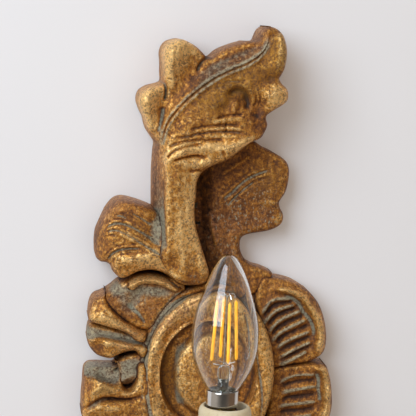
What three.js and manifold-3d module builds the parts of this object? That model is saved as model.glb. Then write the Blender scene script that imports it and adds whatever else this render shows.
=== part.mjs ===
// An electrified wall sconce: a carved and gilded wooden back panel, a bent tube arm,
// a drip pan, and a candle sleeve that hides the holder of a small screw-in lamp.
//
// Frame: millimetres, +Z up, +X to the viewer's right, the wall at Y = 0 and the object
// towards -Y. The origin is on the panel's flat back, behind the oval boss.
import * as THREE from 'three';
import { mergeVertices } from 'three/addons/utils/BufferGeometryUtils.js';
import Module from 'manifold-3d';

const wasm = await Module();
wasm.setup();

// ---- driving dimensions -------------------------------------------------------------
const GAP = 0.3; // clearance between neighbouring pieces

// panel reliefs, as heights above the wall
const HEIGHT = {
  rearLeaf: 16, shell: 19, shellBead: 21, oval: 30, cove: 18, boss: 22,
  leftLeaf: 32, topLobe: 34, crest: 40, leftLobe: 30, scroll: 25, pendant: 26, armPad: 30,
};
const EDGE_ROUND = 2; // rounding of a relief's front edge
const BOSS_DOME = 6;

// arm, measured along its centre line
const ARM_Z = -70; // height at which the arm leaves the panel
const TUBE_R = 4.5;
const BORE_R = 3.2;
const POCKET = { halfWidth: 21, halfHeight: 16, depth: 17 };

// candle axis: the lamp, its holder and the cup all lean a little to the right
const AXIS_POINT = new THREE.Vector3(-0.9, -90, 0);
const LEAN = THREE.MathUtils.degToRad(2.6);
const SLEEVE_SHIFT = 1.8; // the loose sleeve rests against one side of its cup

// lamp with an E14 screw cap
const PITCH = 2.822;
const THREAD_ROOT_R = 6.14;
const THREAD_DEPTH = 0.8;
const THREAD_CLEARANCE = 0.35;
const GLASS_R = 17.75;
const GLASS_WALL = 0.8;
const LAMP_TOP = 81.5;
const FILAMENTS = 4;
const FILAMENT_BOTTOM = 25;
const FILAMENT_TOP = 56;

// sleeve
const SLEEVE_R = 14.1;
const SLEEVE_BORE_R = 11.2;
const SLEEVE_FOOT = -69.3;

// ---- materials ----------------------------------------------------------------------
const finish = (color, roughness, metalness) =>
  new THREE.MeshStandardMaterial({ color, roughness, metalness });
const FINISH = {
  giltWood: finish(0xa9732f, 0.5, 0.55),
  giltMetal: finish(0xb98a3c, 0.4, 0.8),
  brass: finish(0xb8924a, 0.35, 1),
  steel: finish(0x9a9a98, 0.4, 1),
  nickel: finish(0xc9c6c0, 0.2, 1),
  sleeve: finish(0xcdbfa0, 0.55, 0),
  bakelite: finish(0x2a211c, 0.5, 0),
  glass: finish(0xe8e4da, 0.05, 0),
  phosphor: finish(0xf5b82e, 0.6, 0),
  black: finish(0x151515, 0.4, 0),
  board: finish(0x2f5a3a, 0.5, 0),
  ceramic: finish(0xe6e1d6, 0.5, 0),
  live: finish(0x6b3e22, 0.5, 0),
  neutral: finish(0x2c4f8c, 0.5, 0),
  earth: finish(0x5c8a3a, 0.5, 0),
};

// ---- solids -------------------------------------------------------------------------
// Keeps positions only, joins shared corners, drops empty triangles, faces outward.
function closedBody(source) {
  const bare = source.clone();
  for (const name of Object.keys(bare.attributes)) {
    if (name !== 'position') bare.deleteAttribute(name);
  }
  const merged = mergeVertices(bare, 1e-4);
  const from = merged.index.array;
  const position = merged.attributes.position;
  const corner = [0, 1, 2].map(() => new THREE.Vector3());
  const kept = [];
  let volume = 0;
  for (let i = 0; i < from.length; i += 3) {
    const [a, b, c] = [from[i], from[i + 1], from[i + 2]];
    if (a === b || b === c || c === a) continue;
    kept.push(a, b, c);
    [a, b, c].forEach((v, k) => corner[k].fromBufferAttribute(position, v));
    volume += corner[0].dot(corner[1].clone().cross(corner[2]));
  }
  if (volume < 0) kept.reverse();
  merged.setIndex(kept);
  return merged;
}

function toSolid(geometry) {
  const body = closedBody(geometry);
  return new wasm.Manifold(new wasm.Mesh({
    numProp: 3,
    vertProperties: new Float32Array(body.attributes.position.array),
    triVerts: new Uint32Array(body.index.array),
  }));
}

function fromSolid(solid) {
  const mesh = solid.getMesh();
  const geometry = new THREE.BufferGeometry();
  geometry.setAttribute('position', new THREE.BufferAttribute(mesh.vertProperties, 3));
  geometry.setIndex(new THREE.BufferAttribute(mesh.triVerts, 1));
  return geometry;
}

const join = (geometries) =>
  fromSolid(geometries.map(toSolid).reduce((whole, next) => whole.add(next)));

const cut = (geometry, tools) =>
  fromSolid(tools.map(toSolid).reduce((whole, tool) => whole.subtract(tool), toSolid(geometry)));

// A turned shape about +Z from [radius, height] corners.
function turned(profile, segments = 32) {
  const points = profile.map(([r, z]) => new THREE.Vector2(r, z));
  return new THREE.LatheGeometry(points, segments).rotateX(Math.PI / 2);
}

// A turned ring: the profile closes on itself.
const turnedRing = (profile, segments) => turned([...profile, profile[0]], segments);

function box(width, depth, height, x, y, z) {
  return new THREE.BoxGeometry(width, depth, height).translate(x, y, z);
}

// A cylinder about +Z between two heights.
const rod = (radius, bottom, top, segments = 16) =>
  new THREE.CylinderGeometry(radius, radius, top - bottom, segments)
    .rotateX(Math.PI / 2).translate(0, 0, (bottom + top) / 2);

// Turns a shape made about +Z so that +Z points away from the wall.
const facingOut = (geometry, x, y, z) => geometry.rotateX(Math.PI / 2).translate(x, y, z);

// Round section of a rod or tube that follows a curve.
function sectionShape(radius, sides, bore = 0, boreSides = sides) {
  const ring = (r, n) => Array.from({ length: n }, (_, i) => {
    const angle = (2 * Math.PI * i) / n;
    return new THREE.Vector2(r * Math.cos(angle), r * Math.sin(angle));
  });
  const shape = new THREE.Shape(ring(radius, sides));
  if (bore > 0) shape.holes.push(new THREE.Path(ring(bore, boreSides)));
  return shape;
}

const along = (curve, steps, shape) =>
  new THREE.ExtrudeGeometry(shape, { steps, extrudePath: curve, bevelEnabled: false });

const throughPoints = (points) =>
  new THREE.CatmullRomCurve3(points.map((p) => new THREE.Vector3(...p)), false, 'centripetal');

const hexagon = (acrossFlats) => sectionShape(acrossFlats / Math.sqrt(3), 6);

// A hexagon nut about +Z.
function hexNut(acrossFlats, boreRadius, bottom, top) {
  const shape = hexagon(acrossFlats);
  shape.holes.push(new THREE.Path(sectionShape(boreRadius, 16).getPoints()));
  return new THREE.ExtrudeGeometry(shape, { depth: top - bottom, bevelEnabled: false })
    .translate(0, 0, bottom);
}

// A slotted screw about +Z, its head on top; a countersunk head when flare is true.
function slottedScrew(headR, headH, shankR, length, flare) {
  const profile = flare
    ? [[0, -length], [shankR * 0.4, -length + 1], [shankR, -length + 2.4], [shankR, -headH],
      [headR, -0.3], [headR, 0], [0, 0]]
    : [[0, -length], [shankR, -length], [shankR, 0], [headR, 0], [headR, headH * 0.6],
      [headR * 0.75, headH], [0, headH]];
  const top = flare ? 0 : headH;
  return cut(turned(profile, 12), [box(headR * 2.4, 0.7, 1.2, 0, 0, top)]);
}

// ---- carved panel -------------------------------------------------------------------
// Outlines are [x, z] corners of each carved element; smooth curves pass through them.
const OUTLINE = {
  crest: [
    [-17, 50], [-22, 58], [-27, 68], [-31, 80], [-32, 96], [-32, 120], [-30.5, 134],
    [-31, 145], [-27, 156], [-24, 166], [-14, 176], [-3, 182], [8, 188], [18, 190.7],
    [26, 191.5], [28, 197.5], [33, 200], [40, 197.3], [44.3, 191], [45, 183], [43, 174],
    [40.8, 169.7], [45.2, 164], [46.2, 160], [44, 155.3], [38, 152], [33.6, 148.6],
    [34.2, 143], [31.6, 137], [22, 131.8], [10, 123.2], [1, 119.6], [-5.5, 114], [-6.5, 106],
    [-7.6, 95], [-6, 83], [-3, 72], [0, 62], [4, 52],
  ],
  lobeLow: [
    [-29, 134], [-33, 139], [-36.6, 146], [-40.2, 156], [-38.8, 164], [-30, 167.5],
    [-24, 168], [-20, 160], [-22, 146],
  ],
  lobeHigh: [
    [-26.5, 166], [-27, 176], [-26.6, 186], [-21, 191.9], [-14, 192], [-5.8, 187.4],
    [0, 182], [-2, 174], [-12, 164], [-21, 160],
  ],
  rearLeaf: [
    [-12, 118], [4, 124], [20, 133], [31, 131.4], [39.3, 127], [46, 121.3], [46.7, 114],
    [45, 105], [41, 99.2], [43.6, 91], [41.6, 85.8], [33.7, 82.5], [22, 80.6], [18.7, 75],
    [20.8, 67.2], [27.5, 63.4], [37, 59], [36, 53], [20, 46], [0, 46], [-10, 60], [-14, 90],
  ],
  leftLeaf: [
    [-28, 99], [-36, 100.5], [-45.2, 103.4], [-53, 103.2], [-58.5, 97.6], [-62.4, 89.5],
    [-64.7, 81], [-64.6, 72], [-62, 67.3], [-57.5, 66.3], [-55, 62], [-50, 57.2], [-40, 50],
    [-26, 46], [-14, 52], [-18, 64], [-24, 80],
  ],
  lobeA: [
    [-46, 59], [-53.3, 54], [-61.3, 50.2], [-67, 46.5], [-68.8, 39], [-68.5, 34.5],
    [-60, 29.8], [-48, 26], [-36, 22], [-26, 36], [-16, 50], [-28, 58],
  ],
  lobeB: [
    [-63, 34], [-69, 31], [-69.7, 24], [-67, 16], [-60, 11.3], [-52, 11], [-42, 13],
    [-34, 8], [-32, 24], [-44, 32],
  ],
  step: [[-52, 16], [-50, 5], [-50, -4], [-38, -8], [-32, 4], [-34, 16]],
  lobeC: [
    [-66, 4.5], [-71, 8], [-72.4, -2], [-73.8, -14], [-73.4, -22], [-70, -30], [-60, -34],
    [-46, -30], [-32, -24], [-32, -4], [-42, 6], [-48, 3], [-54, -3.5], [-61, -2.5],
  ],
  lobeD: [
    [-69, -28], [-72, -36], [-69, -46], [-61, -53], [-50, -54], [-38, -48], [-26, -40],
    [-32, -20], [-50, -22],
  ],
  scrollLeft: [
    [-58, -50], [-61, -60], [-57, -71], [-47, -78], [-36, -77], [-28, -70], [-22, -56],
    [-34, -42],
  ],
  scrollRight: [
    [56, -58], [55, -70], [47, -78], [37, -78], [28, -70], [22, -56], [34, -46],
  ],
  pendant: [
    [-22, -52], [-32, -64], [-34, -78], [-28, -90], [-19, -101], [-9, -111], [-3, -120],
    [1, -122], [5, -116], [12, -108], [22, -98], [30, -88], [34, -76], [31, -63], [22, -52],
  ],
};

// Scallops of the shell: outline, the line of the raised rim, and the ribs between flutes.
const SHELL = [
  {
    outline: [
      [28, 52], [38, 57], [48, 54.6], [57.2, 48.6], [65.2, 39], [69.6, 24], [69.4, 15],
      [66.3, 8.8], [56, 5], [34, 4], [30, 30], [20, 44],
    ],
    rim: [[41, 50.5], [50, 47], [57.5, 41], [63, 32], [66.2, 22], [65.8, 14], [62, 9.5]],
    ribs: [[30, 40, 50, 43], [32, 34, 55, 38], [35, 27, 58.5, 31], [37, 20, 61, 22],
      [39, 12, 61.5, 14]],
  },
  {
    outline: [
      [44, 8], [62, 6.5], [69.2, 2.5], [73, -6], [74.5, -15], [74.2, -24], [71, -31],
      [56, -33], [34, -30], [32, 0],
    ],
    rim: [[64, 4], [68.5, -2], [70.8, -11], [71, -20], [68, -28]],
    ribs: [[41, 0, 64, -1], [42, -9, 66.5, -10], [41, -18, 66, -20]],
  },
  {
    outline: [
      [60, -27], [70.5, -31], [73.2, -38], [71, -47], [65, -55], [56, -61], [44, -64],
      [28, -58], [24, -44], [36, -24],
    ],
    rim: [[68, -32], [69.5, -40], [65.5, -49], [58, -56], [47, -60.5]],
    ribs: [[40, -27, 64, -30], [37, -35, 63, -42], [33, -43, 56, -51]],
  },
];

// Raised veins and rolled edges that run along the leaves, with the height of their crest.
const VEINS = [
  { height: 40, radius: 1.8, line: [[-28, 136], [-20, 149], [-6, 163], [15, 175.5], [31, 187]] },
  { height: 39.4, radius: 1.6, line: [[-20, 72], [-23, 84], [-24.5, 100], [-25, 120]] },
  { height: 39.4, radius: 1.3, line: [[-22, 130], [-6, 134.5], [10, 137.5], [22, 138]] },
  { height: 39.4, radius: 1.3, line: [[-16, 139], [-2, 141.3], [14, 142.6], [26, 144]] },
  { height: 31.6, radius: 1.8, line: [[-59, 87.5], [-50, 86.4], [-38, 80.5], [-28, 72.5]] },
  { height: 31.6, radius: 1.4, line: [[-53, 94], [-44, 93], [-33, 88]] },
  { height: 29.8, radius: 1.7, line: [[-65, 42], [-54, 38], [-42, 31]] },
  { height: 29.8, radius: 1.7, line: [[-66, 24], [-55, 20], [-42, 19]] },
  { height: 29.8, radius: 1.7, line: [[-69, -8], [-58, -8], [-45, -10]] },
  { height: 29.8, radius: 1.7, line: [[-68, -37], [-57, -38], [-44, -37]] },
  { height: 15.8, radius: 1.4, line: [[9, 101], [19, 110], [36, 118]] },
  { height: 15.8, radius: 1.4, line: [[10, 96], [20, 105], [34, 108]] },
  { height: 25.6, radius: 1.8, line: [[0, -90], [1, -104], [1, -117]] },
  { height: 25.6, radius: 1.4, line: [[-10, -88], [-9, -98], [-5, -108]] },
  { height: 25.6, radius: 1.4, line: [[11, -88], [12, -97], [7, -106]] },
];

function smoothOutline(corners, perCorner = 2) {
  const points = corners.map(([x, z]) => new THREE.Vector3(x, z, 0));
  const curve = new THREE.CatmullRomCurve3(points, true, 'centripetal');
  const smooth = curve.getPoints(corners.length * perCorner).slice(0, -1);
  return new THREE.Shape(smooth.map((p) => new THREE.Vector2(p.x, p.y)));
}

// A carved element that rises from behind the wall plane to its height.
function relief(shape, height, round = EDGE_ROUND) {
  return new THREE.ExtrudeGeometry(shape, {
    depth: height - round,
    bevelThickness: round,
    bevelSize: round * 0.8,
    bevelOffset: -round * 0.8,
    bevelSegments: 1,
    curveSegments: 16,
  }).rotateX(Math.PI / 2);
}

// A half-sunk round bead along [x, z] points at one height.
function bead(line, height, radius) {
  const curve = throughPoints(line.map(([x, z]) => [x, -height + radius * 0.45, z]));
  return along(curve, line.length + 1, sectionShape(radius, 6));
}

function ellipse(halfWidth, halfHeight, z = 0) {
  const shape = new THREE.Shape();
  shape.absellipse(0, z, halfWidth, halfHeight, 0, 2 * Math.PI);
  return shape;
}

function ovalRing() {
  const band = ellipse(39, 52);
  band.holes.push(ellipse(29, 33));
  return relief(band, HEIGHT.oval);
}

function ovalBoss() {
  const dome = new THREE.SphereGeometry(1, 24, 12).scale(18, BOSS_DOME, 22);
  return [
    relief(ellipse(31, 35), HEIGHT.cove, 1),
    relief(ellipse(19, 24), HEIGHT.boss),
    dome.translate(0, -HEIGHT.boss + 0.5, 0),
  ];
}

function shellPieces() {
  const pieces = [];
  for (const { outline, rim, ribs } of SHELL) {
    pieces.push(relief(smoothOutline(outline), HEIGHT.shell));
    pieces.push(bead(rim, HEIGHT.shellBead + 1.5, 3));
    for (const [x0, z0, x1, z1] of ribs) {
      pieces.push(bead([[x0, z0], [x1, z1]], HEIGHT.shell + 1, 2));
    }
  }
  return pieces;
}

function leafPieces() {
  const heights = {
    crest: HEIGHT.crest, lobeLow: HEIGHT.topLobe, lobeHigh: HEIGHT.topLobe,
    rearLeaf: HEIGHT.rearLeaf, leftLeaf: HEIGHT.leftLeaf, lobeA: HEIGHT.leftLobe,
    lobeB: HEIGHT.leftLobe, step: HEIGHT.cove, lobeC: HEIGHT.leftLobe, lobeD: HEIGHT.leftLobe,
    scrollLeft: HEIGHT.scroll, scrollRight: HEIGHT.scroll, pendant: HEIGHT.pendant,
  };
  return Object.entries(OUTLINE).map(([name, corners]) =>
    relief(smoothOutline(corners), heights[name]));
}

// Flange screws stand on a circle round the arm.
const FLANGE_SCREW_CIRCLE = 12;
const FLANGE_SCREW_ANGLES = [90, 210, 330].map(THREE.MathUtils.degToRad);
const FLANGE_FACE = HEIGHT.armPad + GAP; // back of the flange, above the wall
const FLANGE_THICK = 4;
const FLANGE_SCREW_LENGTH = 11;

// Keyhole plate let into the back, above the boss.
const HANGER = { z: 94, halfWidth: 22, halfHeight: 10, thick: 1.6, recess: 2.4, screwX: 16 };
const HANGER_POCKET = { halfWidth: 7, halfHeight: 8.5, depth: 9 };

const flangeScrewSpots = () => FLANGE_SCREW_ANGLES.map((angle) => [
  FLANGE_SCREW_CIRCLE * Math.cos(angle),
  ARM_Z + FLANGE_SCREW_CIRCLE * Math.sin(angle),
]);

function panelCutters() {
  const wall = box(400, 60, 500, 0, 30, 0);
  const wiring = box(2 * POCKET.halfWidth, 2 * POCKET.depth, 2 * POCKET.halfHeight, 0, 0, ARM_Z);
  const tubeHole = facingOut(rod(TUBE_R + GAP, 0, 60, 20), 0, 0, ARM_Z);
  const plate = box(2 * HANGER.halfWidth, 2 * HANGER.recess, 2 * HANGER.halfHeight,
    0, 0, HANGER.z);
  const keyhole = box(2 * HANGER_POCKET.halfWidth, 2 * HANGER_POCKET.depth,
    2 * HANGER_POCKET.halfHeight, 0, 0, HANGER.z);
  const pilots = flangeScrewSpots().map(([x, z]) =>
    facingOut(rod(1.9, 22, 60, 10), x, 0, z));
  const hangerPilots = [-1, 1].map((side) =>
    facingOut(rod(1.9, -1, 12.5, 10), side * HANGER.screwX, 0, HANGER.z));
  const blockPilot = facingOut(rod(1.3, 0, 23, 10), BLOCK.x, 0, ARM_Z);
  return [wall, wiring, tubeHole, plate, keyhole, ...pilots, ...hangerPilots, blockPilot];
}

function carvedPanel() {
  const armPad = facingOut(turned([[0, -5], [19, -5], [19, HEIGHT.armPad - 1.5],
    [17.5, HEIGHT.armPad], [0, HEIGHT.armPad]], 32), 0, 0, ARM_Z);
  const veins = VEINS.map(({ line, height, radius }) => bead(line, height + 0.9, radius));
  const whole = join([...leafPieces(), ...shellPieces(), ovalRing(), ...ovalBoss(), armPad,
    ...veins]);
  return cut(whole, panelCutters());
}

// ---- hanging plate ------------------------------------------------------------------
function hangerPlate() {
  const shape = new THREE.Shape([[-1, -1], [1, -1], [1, 1], [-1, 1]].map(([x, z]) =>
    new THREE.Vector2(x * (HANGER.halfWidth - GAP), z * (HANGER.halfHeight - GAP))));
  const keyhole = new THREE.Path();
  keyhole.absarc(0, -3, 4.4, Math.PI * 0.65, Math.PI * 2.35, false);
  keyhole.lineTo(2, 5);
  keyhole.absarc(0, 5, 2, 0, Math.PI, false);
  keyhole.closePath();
  shape.holes.push(keyhole);
  for (const side of [-1, 1]) {
    const hole = new THREE.Path();
    hole.absarc(side * HANGER.screwX, 0, 3.3, 0, 2 * Math.PI, false);
    shape.holes.push(hole);
  }
  return new THREE.ExtrudeGeometry(shape, {
    depth: HANGER.thick, bevelEnabled: false, curveSegments: 8,
  }).rotateX(Math.PI / 2).translate(0, -0.5, HANGER.z);
}

// A wood screw driven from the back, its countersunk head level with the plate.
const hangerScrew = (side) =>
  slottedScrew(3, 1.8, 1.5, 11, true).rotateX(-Math.PI / 2)
    .translate(side * HANGER.screwX, -0.6, HANGER.z);

// ---- arm ----------------------------------------------------------------------------
// The arm leaves the panel level, dips, and rises along the candle axis.
const onAxis = (s) => new THREE.Vector3(Math.sin(LEAN) * s, 0, Math.cos(LEAN) * s).add(AXIS_POINT);
const ARM_REAR = 9; // distance of the tube's rear end from the wall
const ARM_TIP = -64; // height of the tube's upper end on the candle axis
const ARM_LEVEL = 40; // end of the straight stretch through the panel and flange
const ARM_LOW = { x: -1.6, y: -67, z: -104 };

function armCurve() {
  const v = (x, y, z) => new THREE.Vector3(x, y, z);
  const rise = onAxis(-90);
  const path = new THREE.CurvePath();
  path.add(new THREE.LineCurve3(v(0, -ARM_REAR, ARM_Z), v(0, -ARM_LEVEL, ARM_Z)));
  path.add(new THREE.CubicBezierCurve3(v(0, -ARM_LEVEL, ARM_Z), v(0, -ARM_LEVEL - 17, ARM_Z),
    v(ARM_LOW.x, ARM_LOW.y + 17, ARM_LOW.z), v(ARM_LOW.x, ARM_LOW.y, ARM_LOW.z)));
  path.add(new THREE.CubicBezierCurve3(v(ARM_LOW.x, ARM_LOW.y, ARM_LOW.z),
    v(2 * ARM_LOW.x, ARM_LOW.y - 15, ARM_LOW.z), onAxis(-101), rise));
  path.add(new THREE.LineCurve3(rise, onAxis(ARM_TIP)));
  return path;
}

const armTube = () => along(armCurve(), 24, sectionShape(TUBE_R, 14, BORE_R, 10));

function armFlange() {
  const disc = facingOut(turned([[0, 0], [16.6, 0], [16.6, 1.4], [14, 2.4], [9.5, 3], [8.4, FLANGE_THICK],
    [0, FLANGE_THICK]], 32), 0, -FLANGE_FACE, ARM_Z);
  const tubeHole = facingOut(rod(TUBE_R + GAP, 0, 60, 20), 0, 0, ARM_Z);
  const holes = flangeScrewSpots().map(([x, z]) => facingOut(rod(2.9, 0, 60, 14), x, 0, z));
  return cut(disc, [tubeHole, ...holes]);
}

function flangeScrew(index) {
  const [x, z] = flangeScrewSpots()[index];
  return facingOut(slottedScrew(2.6, 1.6, 1.5, FLANGE_SCREW_LENGTH, true),
    x, -FLANGE_FACE - 2.6, z);
}

// A collar brazed on the tube in front of the flange.
function armCollar() {
  const start = FLANGE_FACE + FLANGE_THICK + GAP;
  const inner = TUBE_R + GAP;
  return facingOut(turnedRing([[inner, 0], [7.2, 0], [7.8, 1.3], [7.2, 2.6], [6, 3.4], [inner, 3.4]], 24),
    0, -start, ARM_Z);
}

const armWasher = () =>
  facingOut(turnedRing([[TUBE_R + GAP, 0], [9, 0], [9, 1], [TUBE_R + GAP, 1]], 20),
    0, -POCKET.depth + GAP + 1, ARM_Z);

const armNut = () => facingOut(hexNut(14, TUBE_R + GAP, 0, 3.5), 0, -POCKET.depth + GAP + 5, ARM_Z);

// ---- wiring in the panel pocket -----------------------------------------------------
const BLOCK = { x: -15, width: 8, depth: 9, height: 22, back: 4 };
const BLOCK_SCREW_Z = [7, -7];

function terminalBlock() {
  const middle = -(BLOCK.back + BLOCK.depth / 2);
  const body = box(BLOCK.width, BLOCK.depth, BLOCK.height, BLOCK.x, middle, ARM_Z);
  const wireHoles = BLOCK_SCREW_Z.map((z) =>
    new THREE.CylinderGeometry(1.5, 1.5, 20, 10).rotateZ(Math.PI / 2)
      .translate(BLOCK.x, middle, ARM_Z + z));
  const screwHoles = BLOCK_SCREW_Z.map((z) =>
    facingOut(rod(1.9, 0, -middle, 12), BLOCK.x, 0, ARM_Z + z));
  const fixing = facingOut(rod(1.9, -10, 40, 12), BLOCK.x, 0, ARM_Z);
  return cut(body, [...wireHoles, ...screwHoles, fixing]);
}

const blockScrew = (z) =>
  slottedScrew(1.5, 1.2, 1.2, 1.6, false).rotateX(-Math.PI / 2)
    .translate(BLOCK.x, -(BLOCK.back + 1.2), ARM_Z + z);

const blockFixingScrew = () =>
  slottedScrew(1.6, 1, 1, 17.5, false).rotateX(-Math.PI / 2)
    .translate(BLOCK.x, -(BLOCK.back + 0.9), ARM_Z);

// ---- leads --------------------------------------------------------------------------
// Two single leads run from the block through the tube to the lamp holder.
const LEAD_R = 0.95;
const LEAD_OFFSET = 1.35;

function leadCurve(side) {
  const middle = -(BLOCK.back + BLOCK.depth / 2);
  const blockEdge = BLOCK.x + BLOCK.width / 2;
  const z = ARM_Z + side * BLOCK_SCREW_Z[0];
  const samples = armCurve().getSpacedPoints(26)
    .map((p) => [p.x + side * LEAD_OFFSET, p.y, p.z]);
  const top = [-60, -55, -48, -41, -37.2].map((s, i) => {
    const p = onAxis(s);
    const away = [1.35, 1.8, 2.6, 3.1, 3.1][i];
    const front = [0, 1.2, 4.2, 5.4, 5.4][i];
    return [p.x + side * away, p.y - front, p.z];
  });
  const start = [
    [BLOCK.x + 0.5, middle, z], [blockEdge, middle, z], [blockEdge + 3, middle + 1.5, z],
    [-4 + side * 1.5, -4.6, ARM_Z + side * 4], [side * LEAD_OFFSET, -5.6, ARM_Z + side * 0.6],
  ];
  return throughPoints([...start, ...samples, ...top]);
}

const lead = (side) => along(leadCurve(side), 52, sectionShape(LEAD_R, 8));

// ---- drip pan and cups, turned about the candle axis --------------------------------
// Places a shape made about +Z on the leaning candle axis.
function onCandle(geometry, shift = 0) {
  return geometry.translate(shift, 0, 0).rotateY(LEAN)
    .translate(AXIS_POINT.x, AXIS_POINT.y, AXIS_POINT.z);
}

const HOLE_R = TUBE_R + GAP;

const candleCup = () => onCandle(turnedRing([
  [HOLE_R, -92], [6.6, -92], [7.4, -90.6], [6.6, -89.2], [8.6, -87.4], [12.6, -85.4],
  [14.8, -82.2], [15, -79.8], [13.4, -77.6], [HOLE_R, -77.6],
], 24));

const dripPan = () => onCandle(turnedRing([
  [HOLE_R, -77.3], [13.5, -77.3], [22, -75.8], [28.5, -71.6], [31, -67.2], [30.6, -66],
  [29.2, -66.4], [26.8, -70], [21.4, -73.6], [18.6, -74.4], [HOLE_R, -74.4],
], 32));

const sleeveSocket = () => onCandle(turnedRing([
  [HOLE_R, -74.1], [17.6, -74.1], [18.4, -72.4], [17.9, -65.6], [17, -64.9], [16.4, -65.6],
  [16.4, -71.6], [HOLE_R, -71.6],
], 28));

const tubeNut = () => onCandle(hexNut(14, HOLE_R, -69.4, -66.2));

// ---- lamp holder --------------------------------------------------------------------
const BRACKET = { thick: 1.4, width: 10, wallY: 7.2, foot: -71.3, shelf: -37.2 };

function holderBracket() {
  const { thick, width, wallY, foot, shelf } = BRACKET;
  const outer = wallY + thick;
  const side = new THREE.Shape([
    [-6.6, foot], [outer, foot], [outer, shelf + thick], [-1, shelf + thick], [-1, shelf],
    [wallY, shelf], [wallY, foot + thick], [-6.6, foot + thick],
  ].map(([y, z]) => new THREE.Vector2(y, z)));
  const strap = new THREE.ExtrudeGeometry(side, { depth: width, bevelEnabled: false })
    .rotateX(Math.PI / 2).rotateZ(Math.PI / 2).translate(-width / 2, 0, 0);
  // after the turns the outline's first axis runs along Y and its second along Z
  return onCandle(cut(strap, [
    rod(HOLE_R, foot - 5, foot + 5, 20),
    rod(1.6, shelf - 5, shelf + 5, 12).translate(0, 3.2, 0),
  ]));
}

const holderFixingScrew = () =>
  onCandle(slottedScrew(2.2, 1.4, 1.2, 8, false).rotateX(Math.PI)
    .translate(0, 3.2, BRACKET.shelf - 0.2));

const HOLDER = { bottom: -35.4, top: -2.2, outerR: 9.1, cavityR: 8, cavityFloor: -21.4 };

function holderBody() {
  const { bottom, top, outerR, cavityR, cavityFloor } = HOLDER;
  const body = turned([
    [0, bottom], [7.6, bottom], [8.2, bottom + 0.8], [8.2, -23.5], [outerR, -22.5],
    [outerR, top - 0.5], [outerR - 0.5, top], [cavityR, top], [cavityR, cavityFloor],
    [0, cavityFloor],
  ], 24);
  const wireWays = [-1, 1].map((side) => rod(1.5, bottom - 5, -29, 10).translate(side * 3.1, -5.4, 0));
  const screwWays = [-1, 1].map((side) =>
    new THREE.CylinderGeometry(1.9, 1.9, 10, 12)
      .translate(side * 3.1, -8.8, -30.5));
  const fixing = rod(1.5, bottom - 5, -28, 10).translate(0, 3.2, 0);
  const contactSlot = box(3.8, 2, 12, 0, 0, -20);
  return onCandle(cut(body, [...wireWays, ...screwWays, fixing, contactSlot]));
}

const holderTerminalScrew = (side) =>
  onCandle(slottedScrew(1.55, 1.2, 1.1, 1.8, false).rotateX(Math.PI / 2)
    .translate(side * 3.1, -6.4, -30.5));

// The helix is the same on the lamp and in the holder, so they stay in mesh as the lamp turns.
const wave = (s, angle) => 0.5 + 0.5 * Math.cos((2 * Math.PI * s) / PITCH - angle);
const smoothstep = (a, b, x) => THREE.MathUtils.smoothstep(x, a, b);

// Moves the vertices that lie on the marked radius so that they form a round thread.
function cutThread(geometry, markRadius, radiusAt) {
  const position = geometry.attributes.position;
  for (let i = 0; i < position.count; i += 1) {
    const [x, y, z] = [position.getX(i), position.getY(i), position.getZ(i)];
    if (Math.abs(Math.hypot(x, y) - markRadius) > 1e-3) continue;
    const angle = Math.atan2(y, x);
    const radius = radiusAt(z, angle);
    position.setXY(i, radius * Math.cos(angle), radius * Math.sin(angle));
  }
  return geometry;
}

const rows = (bottom, top, count, radius) =>
  Array.from({ length: count + 1 }, (_, i) => [radius, bottom + ((top - bottom) * i) / count]);

const THREAD = { lampBottom: -13, lampTop: -3, holderBottom: -14.5, holderTop: -3.4, segments: 20 };

function holderShell() {
  const mark = 6.5;
  const outer = 7.7;
  const { holderBottom: low, holderTop: high, segments } = THREAD;
  const ring = turnedRing([
    [outer, -19], [outer, -2.8], [7.35, -2.8], ...rows(low, high, 20, mark).reverse(), [7, -19],
  ], segments);
  return onCandle(cutThread(ring, mark, (s, angle) => {
    const open = Math.max(1 - smoothstep(low, low + 1.5, s), smoothstep(high - 1, high, s));
    const depth = THREAD_DEPTH * Math.max(wave(s, angle), open);
    return THREAD_ROOT_R + THREAD_CLEARANCE + depth;
  }));
}

// A sprung brass strip under the lamp's centre contact.
const holderContact = () =>
  onCandle(join([box(3.2, 1.2, 6.4, 0, 0, -21.2), box(4.4, 4.4, 0.7, 0, 0, -18.2)]));

// ---- lamp ---------------------------------------------------------------------------
// The round contact rivet at the foot of the lamp carries the lamp as it screws out.
const lampTipContact = () => onCandle(turned([
  [0, -17.5], [1.5, -17.4], [2.3, -16.8], [2.3, -16.4], [0.9, -16.3], [0.9, -13.2], [0, -13.2],
], 16));

const lampInsulator = () => onCandle(turnedRing([
  [1.2, -16.1], [3.2, -16.1], [5.2, -13.9], [5.2, -12.4], [1.2, -12.4],
], 20));

function lampCap() {
  const mark = 6.5;
  const { lampBottom: low, lampTop: high, segments } = THREAD;
  const ring = turnedRing([
    [5.5, -13.8], [5.9, -13.8], ...rows(low, high, 18, mark), [6.4, -2.4], [7.2, -1],
    [8.3, -0.1], [8.55, 0.5], [8.55, 8.1], [8.4, 8.4], [8, 8.4], [8, 0.6], [6.6, -0.9],
    [5.5, -2.6],
  ], segments);
  return onCandle(cutThread(ring, mark, (s, angle) => {
    const full = smoothstep(low, low + 1.2, s) * (1 - smoothstep(high - 1.4, high, s));
    return THREAD_ROOT_R + THREAD_DEPTH * full * wave(s, angle);
  }));
}

// Half-profile of the glass from its neck to its tip.
const GLASS_PROFILE = [
  [7.55, 3.5], [7.6, 8.6], [8.6, 9.1], [9.8, 10.6], [12.4, 15], [14.8, 20], [16.5, 25],
  [17.5, 30.5], [GLASS_R, 37], [17.4, 43.5], [16.05, 50.5], [13.1, 60], [11.4, 65], [9.4, 70],
  [6.9, 75], [4.2, 79.2], [1.9, 81.1], [0, LAMP_TOP],
];

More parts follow.
